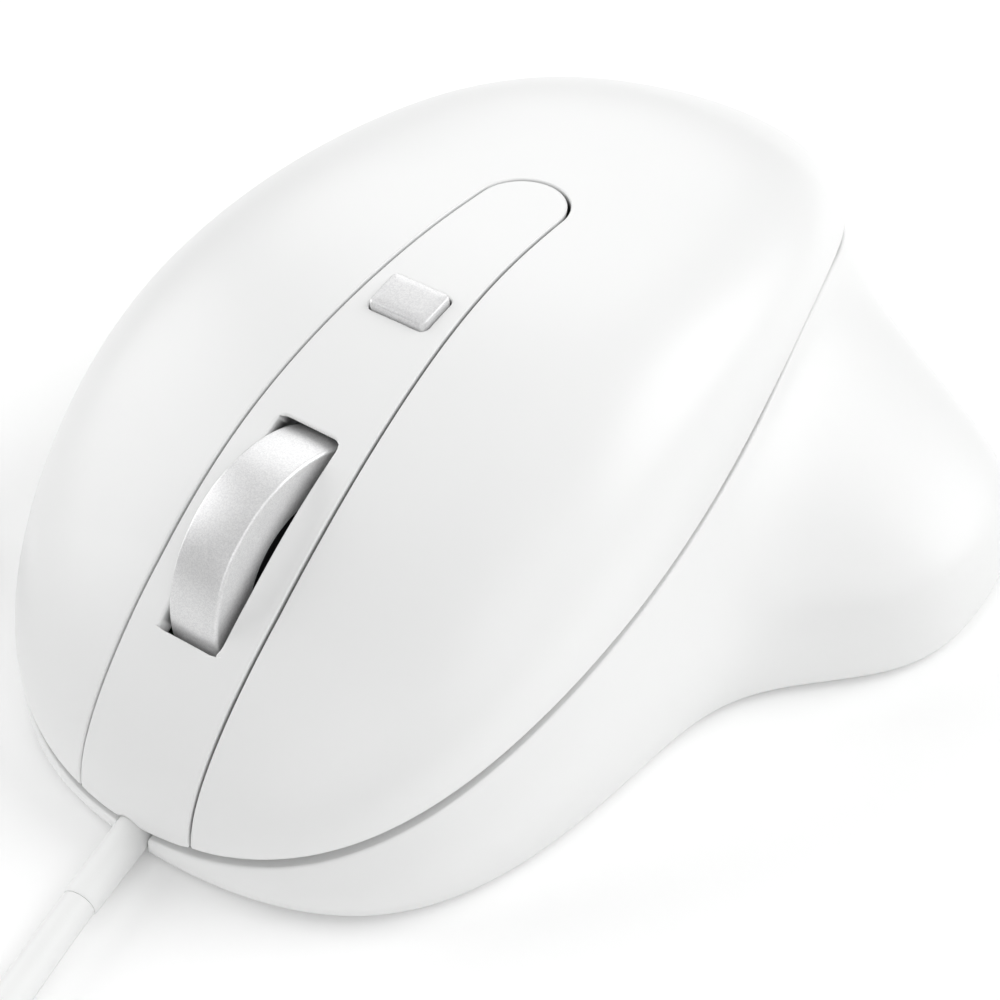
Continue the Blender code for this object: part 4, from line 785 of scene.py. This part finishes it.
def make_strip():
    edge = SEAM_ROUND
    slot = (SLOT_FRONT - SLOT_LIP, SLOT_REAR + SLOT_LIP, SLOT_HALF_WIDTH + SLOT_LIP, SLOT_CORNER + SLOT_LIP)
    grow = SLIDE_GAP + edge
    mode = (MODE_Y - MODE_LENGTH / 2 - grow, MODE_Y + MODE_LENGTH / 2 + grow, MODE_HALF_WIDTH + grow,
            MODE_CORNER + grow)
    shoulder = STRIP_SHOULDER
    slot_y = arc_stations(slot[0], slot[1], slot[3], 22)
    mode_y = arc_stations(mode[0], mode[1], mode[3], 6)
    tip = TIP_MIDDLE + (TIP_RADIUS - edge) * np.sin(np.linspace(0, math.pi / 2, 12))
    stations = np.concatenate([[shoulder, (shoulder + slot[0]) / 2], slot_y,
                               np.linspace(slot[1], mode[0], 16)[1:-1], mode_y,
                               np.linspace(mode[1], TIP_MIDDLE, 18)[1:-1], tip])
    beyond = np.maximum(stations - TIP_MIDDLE, 0)
    round_half = np.sqrt(np.maximum((TIP_RADIUS - edge)**2 - beyond**2, 0))
    outer_half = np.where(stations > TIP_MIDDLE, round_half, strip_half(stations, -edge))
    slot_flat, mode_flat = slot[2] - slot[3], mode[2] - mode[3]
    inner_half = np.interp(stations, (shoulder, slot[0], slot[1], mode[0], mode[1], TIP_MIDDLE),
                           (slot_flat, slot_flat, slot_flat, mode_flat, mode_flat, 2.6))
    bands = [hole_band(stations, hole) for hole in (slot, mode)]
    for inside, half in bands:
        inner_half = np.where(inside, half, inner_half)
    inner_half = np.minimum(inner_half, 0.55 * outer_half)
    for inside, half in bands:
        inner_half = np.where(inside, np.maximum(inner_half, half), inner_half)
    side_columns, middle_columns = 5, 8
    side_share = np.linspace(0, 1, side_columns + 1)
    middle_share = np.linspace(-1, 1, middle_columns + 1)
    x = np.concatenate([
        -outer_half[:, None] + (outer_half - inner_half)[:, None] * side_share[:-1],
        inner_half[:, None] * middle_share,
        inner_half[:, None] + (outer_half - inner_half)[:, None] * side_share[1:]], 1)
    y = np.broadcast_to(stations[:, None], x.shape)
    front_x = x[0]
    low = solve(lambda v: dome_height(v) * dome_share(front_x, v), np.full(len(front_x), -RIM_FRONT - 0.5),
                np.full(len(front_x), shoulder), RIM_ROUND)
    share = np.sin(np.linspace(0, math.pi / 2, 24))[::-1, None]
    front_y = shoulder + (low - shoulder) * share
    x = np.concatenate([np.broadcast_to(front_x, front_y.shape)[:-1], x])
    y = np.concatenate([front_y[:-1], y])
    ahead = len(front_y) - 1
    outer = np.stack([x, y, cover_height(x, y)], -1)
    normals = cover_normal(x, y)
    left, right = side_columns, side_columns + middle_columns
    slot_rows = (ahead + 2, ahead + 2 + len(slot_y) - 1)
    mode_rows = tuple(int(np.argmin(np.abs(y[:, 0] - v))) for v in (mode[0], mode[1]))

    def keep(i, j):
        hole = any(a <= i < b for a, b in (slot_rows, mode_rows))
        return not (hole and left <= j < right)
    skin = Skin()
    add_shell(skin, outer, normals, COVER_WALL, keep)
    for first, last in (slot_rows, mode_rows):
        index = [(first, j) for j in range(left, right + 1)]
        index += [(i, right) for i in range(first + 1, last + 1)]
        index += [(last, j) for j in range(right - 1, left - 1, -1)]
        index += [(i, left) for i in range(last - 1, first, -1)]
        loop = np.array([outer[i, j] for i, j in index])
        loop_normals = np.array([normals[i, j] for i, j in index])
        radius = SLOT_LIP if first == slot_rows[0] else edge
        add_edge(skin, loop, loop_normals, -plan_side(loop, closed=True), radius, COVER_WALL, close=True)
    line = np.concatenate([outer[::-1, -1], outer[0, ::-1][1:], outer[1:, 0]])
    line_normals = np.concatenate([normals[::-1, -1], normals[0, ::-1][1:], normals[1:, 0]])
    rows, columns = outer.shape[:2]
    outward = -plan_side(line)
    outward[0] = outward[-1] = (0, 1, 0)
    outward[:rows - 1] = np.where(outward[:rows - 1, :1] < 0, -outward[:rows - 1], outward[:rows - 1])
    outward[rows - ahead - 1:rows - 1] = (1, 0, 0)
    outward[rows - 1 + columns:rows - 1 + columns + ahead - 1] = (-1, 0, 0)
    tail = slice(rows - 1 + columns, len(line) - 1)
    outward[tail] = np.where(outward[tail, :1] > 0, -outward[tail], outward[tail])
    outward[rows - 1:rows - 1 + columns] = (0, 0, -1)
    outward[rows - 1] = unit(np.array([1.0, 0, -1]))
    outward[rows + columns - 2] = unit(np.array([-1.0, 0, -1]))
    radius = np.full(len(line), edge)
    radius[rows:rows + columns - 2] = RIM_ROUND
    add_edge(skin, line, line_normals, outward, radius, COVER_WALL)
    made = skin.build("strip_shell")
    half = SLOT_HALF_WIDTH - 0.1
    arch_radius = WHEEL_RADIUS + WHEEL_CLEARANCE
    arch = turned_rings([(arch_radius, -half), (arch_radius, half)], (0, WHEEL_Y, WHEEL_Z), (1, 0, 0), 160)
    carve(made, loft("wheel_arch", arch))
    carve(made, sleeve_hole())
    return finished(made, WHITE, "root", ["center_strip"])


# ------------------------------------------------------------------ lower body

def make_side_body():
    """Lower body: outer wall, rounded lip under the cover, rounded foot and the inner wall."""
    fine = np.linspace(0, 2 * math.pi, 2881)
    base, rim = np.stack(base_plan(fine)[:2], -1), np.stack(rim_plan(fine), -1)
    steps = np.linalg.norm(np.diff(base, axis=0), axis=1) + np.linalg.norm(np.diff(rim, axis=0), axis=1)
    travel = np.concatenate([[0], np.cumsum(steps)])
    theta = np.interp(np.linspace(0, travel[-1], 320, endpoint=False), travel, fine)
    lip, foot_round = BODY_LIP, FOOT_ROUND
    top = side_top(*rim_plan(theta))
    start = lip / (top - WALL_FOOT)
    share = start + (1 - start) * np.linspace(0, 1, 34)[:, None]
    outer = side_point(theta, share)
    across = np.roll(outer, -1, 1) - np.roll(outer, 1, 1)
    down = np.gradient(outer, axis=0)
    normals = unit(np.cross(down, across))
    top_rows, _ = roll(outer[0], normals[0], np.tile([0.0, 0, 1.0], (len(theta), 1)), lip)
    level = unit(normals[-1] * (1, 1, 0))
    foot = outer[-1].copy()
    foot[:, 2] = WALL_BOTTOM + foot_round
    foot_rows, _ = roll(foot, level, np.tile([0.0, 0, -1.0], (len(theta), 1)), foot_round)

    def inset(ring, distance):
        along = np.roll(ring[:, :2], -1, 0) - np.roll(ring[:, :2], 1, 0)
        along = unit(along)
        return ring + distance * np.stack([-along[:, 1], along[:, 0], np.zeros(len(ring))], -1)
    inner = []
    for row in (0, 8, 16, 24, 33):
        inner.append(inset(outer[row], SIDE_WALL))
    tall = np.clip((top - 2.9) / 0.8, 0, 1)[:, None]
    near, far = SIDE_WALL - lip + 0.55 * tall, SIDE_WALL - lip + 1.2 * tall
    stand, ledge = np.array([0, 0, 1.5]) * tall, np.array([0, 0, -0.5]) * tall
    lid = [inset(top_rows[-1], far) + ledge, inset(top_rows[-1], far) + stand,
           inset(top_rows[-1], near) + stand, inset(top_rows[-1], near)]
    bottom = inset(foot_rows[-1], SIDE_WALL - foot_round)
    rings = [*top_rows[::-1], *outer[1:], *foot_rows, bottom, *inner[::-1][:-1], inner[0] + ledge, *lid]
    made = loft("lower_body", rings, ends="wrapped", angle=40)
    carve(made, sleeve_hole())
    across = SLEEVE_HOLE * np.array([math.cos(SLEEVE_TURN), math.sin(SLEEVE_TURN)])
    out, back = sleeve_point(8)[:2], sleeve_point(-8)[:2]
    block = np.array([out - across, out + across, back + across, back - across])
    carve(made, loft("notch", [np.column_stack([block, np.full(4, z)]) for z in (EXIT_HEIGHT, 20.0)]))
    made.data.shade_smooth()
    made.data.set_sharp_from_angle(angle=math.radians(40))
    return finished(made, BODY_WHITE, "root", ["side_body"])


# ------------------------------------------------------------------ wheel and small button

def make_wheel_rim():
    """Turned rim with a slightly crowned tread and well-rounded shoulders."""
    inner, half = WHEEL_RADIUS - RIM_THICKNESS, WHEEL_WIDTH / 2
    round_edge = 0.4
    crown = 0.12
    profile = []
    for turn in np.linspace(0, math.pi / 2, 9):
        profile.append((WHEEL_RADIUS - crown - round_edge * (1 - math.cos(turn)),
                        half - round_edge * (1 - math.sin(turn))))
    tread = [(WHEEL_RADIUS - crown * (t / (half - round_edge))**2, t)
             for t in np.linspace(-(half - round_edge), half - round_edge, 9)]
    section = [(inner + 0.25, -half)] + [(r, -t) for r, t in profile[::-1]][:-1] + tread + profile[1:]
    section += [(inner + 0.25, half), (inner, half - 0.25), (inner, -half + 0.25)]
    rings = turned_rings(section, (0, WHEEL_Y, WHEEL_Z), (1, 0, 0), 160)
    made = loft("silver_wheel", rings, ends="wrapped", angle=40)
    return finished(made, SILVER, "wheel", ["wheel_rim"])


def make_mode_button():
    """Small button with a softly rounded top that follows the strip's crown."""
    rings = []
    stem_top = -4.6
    for rise, shrink in ((stem_top, 0.0), (MODE_RISE - 0.3, 0.0), (MODE_RISE - 0.2, 0.02),
                         (MODE_RISE - 0.1, 0.07), (MODE_RISE - 0.04, 0.14), (MODE_RISE, 0.26)):
        corner = max(MODE_CORNER - shrink, 0.3)
        outline = rounded_outline(0, MODE_Y, 2 * (MODE_HALF_WIDTH - shrink), MODE_LENGTH - 2 * shrink, corner)
        rings.append(np.column_stack([outline, cover_height(0.0, outline[:, 1]) + rise]))
    for shrink in (0.9, 1.5, 2.1):
        outline = rounded_outline(0, MODE_Y, 2 * (MODE_HALF_WIDTH - shrink), MODE_LENGTH - 2 * shrink, 0.1)
        rings.append(np.column_stack([outline, cover_height(0.0, outline[:, 1]) + MODE_RISE + 0.03]))
    made = loft("silver_button", rings, angle=50)
    low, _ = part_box("mode_button")
    stem_profile = [(1.2, low.z / MM), (1.2, float(cover_height(0, MODE_Y)) - 4.0)]
    stem = loft("silver_button_stem", turned_rings(stem_profile, (0, MODE_Y, 0), (0, 0, 1), 32))
    finished(stem, SILVER, "mode_button")
    return finished(made, SILVER, "mode_button", ["mode_button"])


# ------------------------------------------------------------------ cable

def make_sleeve():
    """Tapered sleeve with a rounded end, out of the front wall."""
    reach = SLEEVE_INSIDE + SLEEVE_REACH
    profile = [(1.7, 0), (1.95, 0.3), (2.0, 7.0), (1.98, 9.0), (1.93, reach - 2.0), (1.9, reach - 0.4),
               (1.86, reach - 0.15), (1.78, reach)]
    rings = turned_rings(profile, sleeve_point(-SLEEVE_INSIDE), SLEEVE_AXIS, 64)
    return finished(loft("cable_sleeve", rings, angle=40), JACKET, "root", ["strain_relief"])


def free_run():
    """From the sleeve's end down to the table and on to the coil's first turn."""
    x_start, start, _ = sleeve_point(SLEEVE_REACH + 0.02)
    end = COIL_CENTRE[1]
    travel = np.linspace(0, 1, 60) * (start - end)
    share = np.clip(travel / SWING_LENGTH, 0, 1)
    lead = math.tan(SLEEVE_TURN) * SWING_LENGTH * share * (1 - share)**2
    x = x_start + (COIL_CENTRE[0] + COIL_OUTER_TURN - x_start) * smooth_step(share) + lead
    table = CABLE_RADIUS + 0.06
    drop = (EXIT_HEIGHT - table) * smooth_step(travel / TOUCHDOWN)
    rise = (COIL_LIFT + CABLE_RADIUS - table) * smooth_step((travel - TOUCHDOWN) / RISE_LENGTH)
    return np.stack([x, start - travel, EXIT_HEIGHT - drop + rise], -1)


def coil_run(turns):
    """Two flat layers of turns, clockwise from above: inwards below, then outwards on top."""
    ring = np.linspace(0, 1, int(turns * 90))
    inward = COIL_OUTER_TURN + (COIL_INNER_TURN - COIL_OUTER_TURN) * ring
    climb = np.linspace(0, 1, 32)[1:-1]
    angle = np.concatenate([-2 * math.pi * turns * ring, -2 * math.pi * (turns + CLIMB_TURNS * climb)])
    top_turns = math.ceil(turns + CLIMB_TURNS + turns - 0.5) + 0.5 - (turns + CLIMB_TURNS)
    back = np.linspace(0, 1, int(top_turns * 90))
    angle = np.concatenate([angle, -2 * math.pi * (turns + CLIMB_TURNS + top_turns * back)])
    radius = np.concatenate([inward, np.full(len(climb), COIL_INNER_TURN),
                             COIL_INNER_TURN + (COIL_OUTER_TURN - COIL_INNER_TURN) * back])
    low = COIL_LIFT + CABLE_RADIUS
    z = np.concatenate([np.full(len(ring), low), low + LAYER_PITCH * smooth_step(climb),
                        np.full(len(back), low + LAYER_PITCH)])
    return np.stack([COIL_CENTRE[0] + radius * np.cos(angle), COIL_CENTRE[1] + radius * np.sin(angle), z], -1)


def plug_run():
    """From the coil's top turn, straight on and gently down into the plug's neck."""
    x = COIL_CENTRE[0] - COIL_OUTER_TURN
    share = np.linspace(0, 1, 30)[1:]
    y = COIL_CENTRE[1] + (PLUG_Y - COIL_CENTRE[1]) * share
    high = COIL_LIFT + CABLE_RADIUS + LAYER_PITCH
    return np.stack([np.full(len(y), x), y, high + (PLUG_HEIGHT - high) * smooth_step(share)], -1)


def length_of(points):
    return float(np.linalg.norm(np.diff(points, axis=0), axis=1).sum())


def make_cable():
    best = None
    for turns in np.arange(5.0, 5.8, 0.01):
        path = np.concatenate([free_run()[:-1], coil_run(turns), plug_run()])
        wrong = abs(length_of(path) - CABLE_LENGTH)
        if best is None or wrong < best[0]:
            best = (wrong, path)
    path = best[1]
    curve = bpy.data.curves.new("signal_cable", "CURVE")
    curve.dimensions = "3D"
    curve.bevel_depth = CABLE_RADIUS * MM
    curve.bevel_resolution = 5
    curve.use_fill_caps = True
    line = curve.splines.new("POLY")
    line.points.add(len(path) - 1)
    for point, spot in zip(line.points, place(path)):
        point.co = (*spot, 1)
    curve.materials.append(JACKET)
    made = bpy.data.objects.new("signal_cable", curve)
    bpy.context.scene.collection.objects.link(made)
    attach(made, "root")
    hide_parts("cable", "cable_coil", "cable_tail")
    return made


# ------------------------------------------------------------------ finish of the CAD's own nodes

NODE_LOOKS = {
    "base_plate": BODY_WHITE, "front_foot": FOOT, "rear_foot": FOOT, "case_screw": STEEL,
    "wheel_hub": DARK, "wheel_axle": DARK, "wheel_fork": GREY, "left_fork_guide": GREY,
    "right_fork_guide": GREY, "encoder": GREY, "left_switch_case": DARK, "right_switch_case": DARK,
    "left_switch_plunger": GREY, "right_switch_plunger": GREY, "wheel_switch_stand": GREY,
    "wheel_switch_case": DARK, "wheel_switch_plunger": GREY, "mode_board": BOARD,
    "left_board_leg": GREY, "right_board_leg": GREY, "mode_switch_case": DARK,
    "mode_switch_plunger": GREY, "circuit_board": BOARD, "optical_sensor": DARK, "sensor_lens": CLEAR,
    "sensor_led": CLEAR, "controller_chip": DARK, "filter_capacitor": DARK, "cable_header": FOOT,
    "inner_lead": JACKET, "coil_tie": TIE, "plug_grip": JACKET, "plug_shell": STEEL, "plug_tongue": GREY,
}


def dress_nodes():
    for name, look in NODE_LOOKS.items():
        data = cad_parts[name].data
        if not data.materials:
            data.materials.append(look)
        for index in range(len(data.materials)):
            data.materials[index] = look


# ------------------------------------------------------------------ floor and light

def make_stage():
    mesh = bpy.data.meshes.new("floor")
    corners = [(x * FLOOR_REACH, y * FLOOR_REACH, 0) for x, y in ((-1, -1), (1, -1), (1, 1), (-1, 1))]
    mesh.from_pydata(corners, [], [(0, 1, 2, 3)])
    floor = bpy.data.objects.new("floor", mesh)
    bpy.context.scene.collection.objects.link(floor)
    made, tree, shader = new_material("floor_look", 0.9)
    cloud = noise(tree, 3.0)
    tree.links.new(ramp(tree, cloud.outputs["Fac"], 0.3, 0.7, (0.93, 0.935, 0.93, 1), (0.95, 0.95, 0.95, 1)),
                   shader.inputs["Base Color"])
    shader.inputs["Specular IOR Level"].default_value = 0.0
    shader.inputs["Emission Color"].default_value = (1, 1, 1, 1)
    shader.inputs["Emission Strength"].default_value = FLOOR_GLOW
    mesh.materials.append(made)


def area_light(name, spot, aim, size, power):
    light = bpy.data.lights.new(name, "AREA")
    light.shape = "DISK"
    light.size, light.energy = size, power
    made = bpy.data.objects.new(name, light)
    made.location = spot
    made.rotation_mode = "QUATERNION"
    made.rotation_quaternion = (Vector(spot) - Vector(aim)).to_track_quat("Z", "Y")
    bpy.context.scene.collection.objects.link(made)


def make_light():
    world = bpy.data.worlds.new("studio")
    bpy.context.scene.world = world
    world.use_nodes = True
    sky = world.node_tree.nodes["Background"]
    sky.inputs["Color"].default_value = (1, 1, 1, 1)
    sky.inputs["Strength"].default_value = SKY_STRENGTH
    for name, (spot, width, watts) in LIGHTS.items():
        area_light(name, spot, LIGHT_AIM, width, watts)
    bpy.context.scene.view_settings.view_transform = "Standard"


make_camera()
make_sleeve()
make_cable()
make_palm_cover()
make_button("left_shell", 1, "left_button")
make_button("right_shell", -1, "right_button")
make_strip()
make_side_body()
make_wheel_rim()
make_mode_button()
dress_nodes()
make_stage()
make_light()
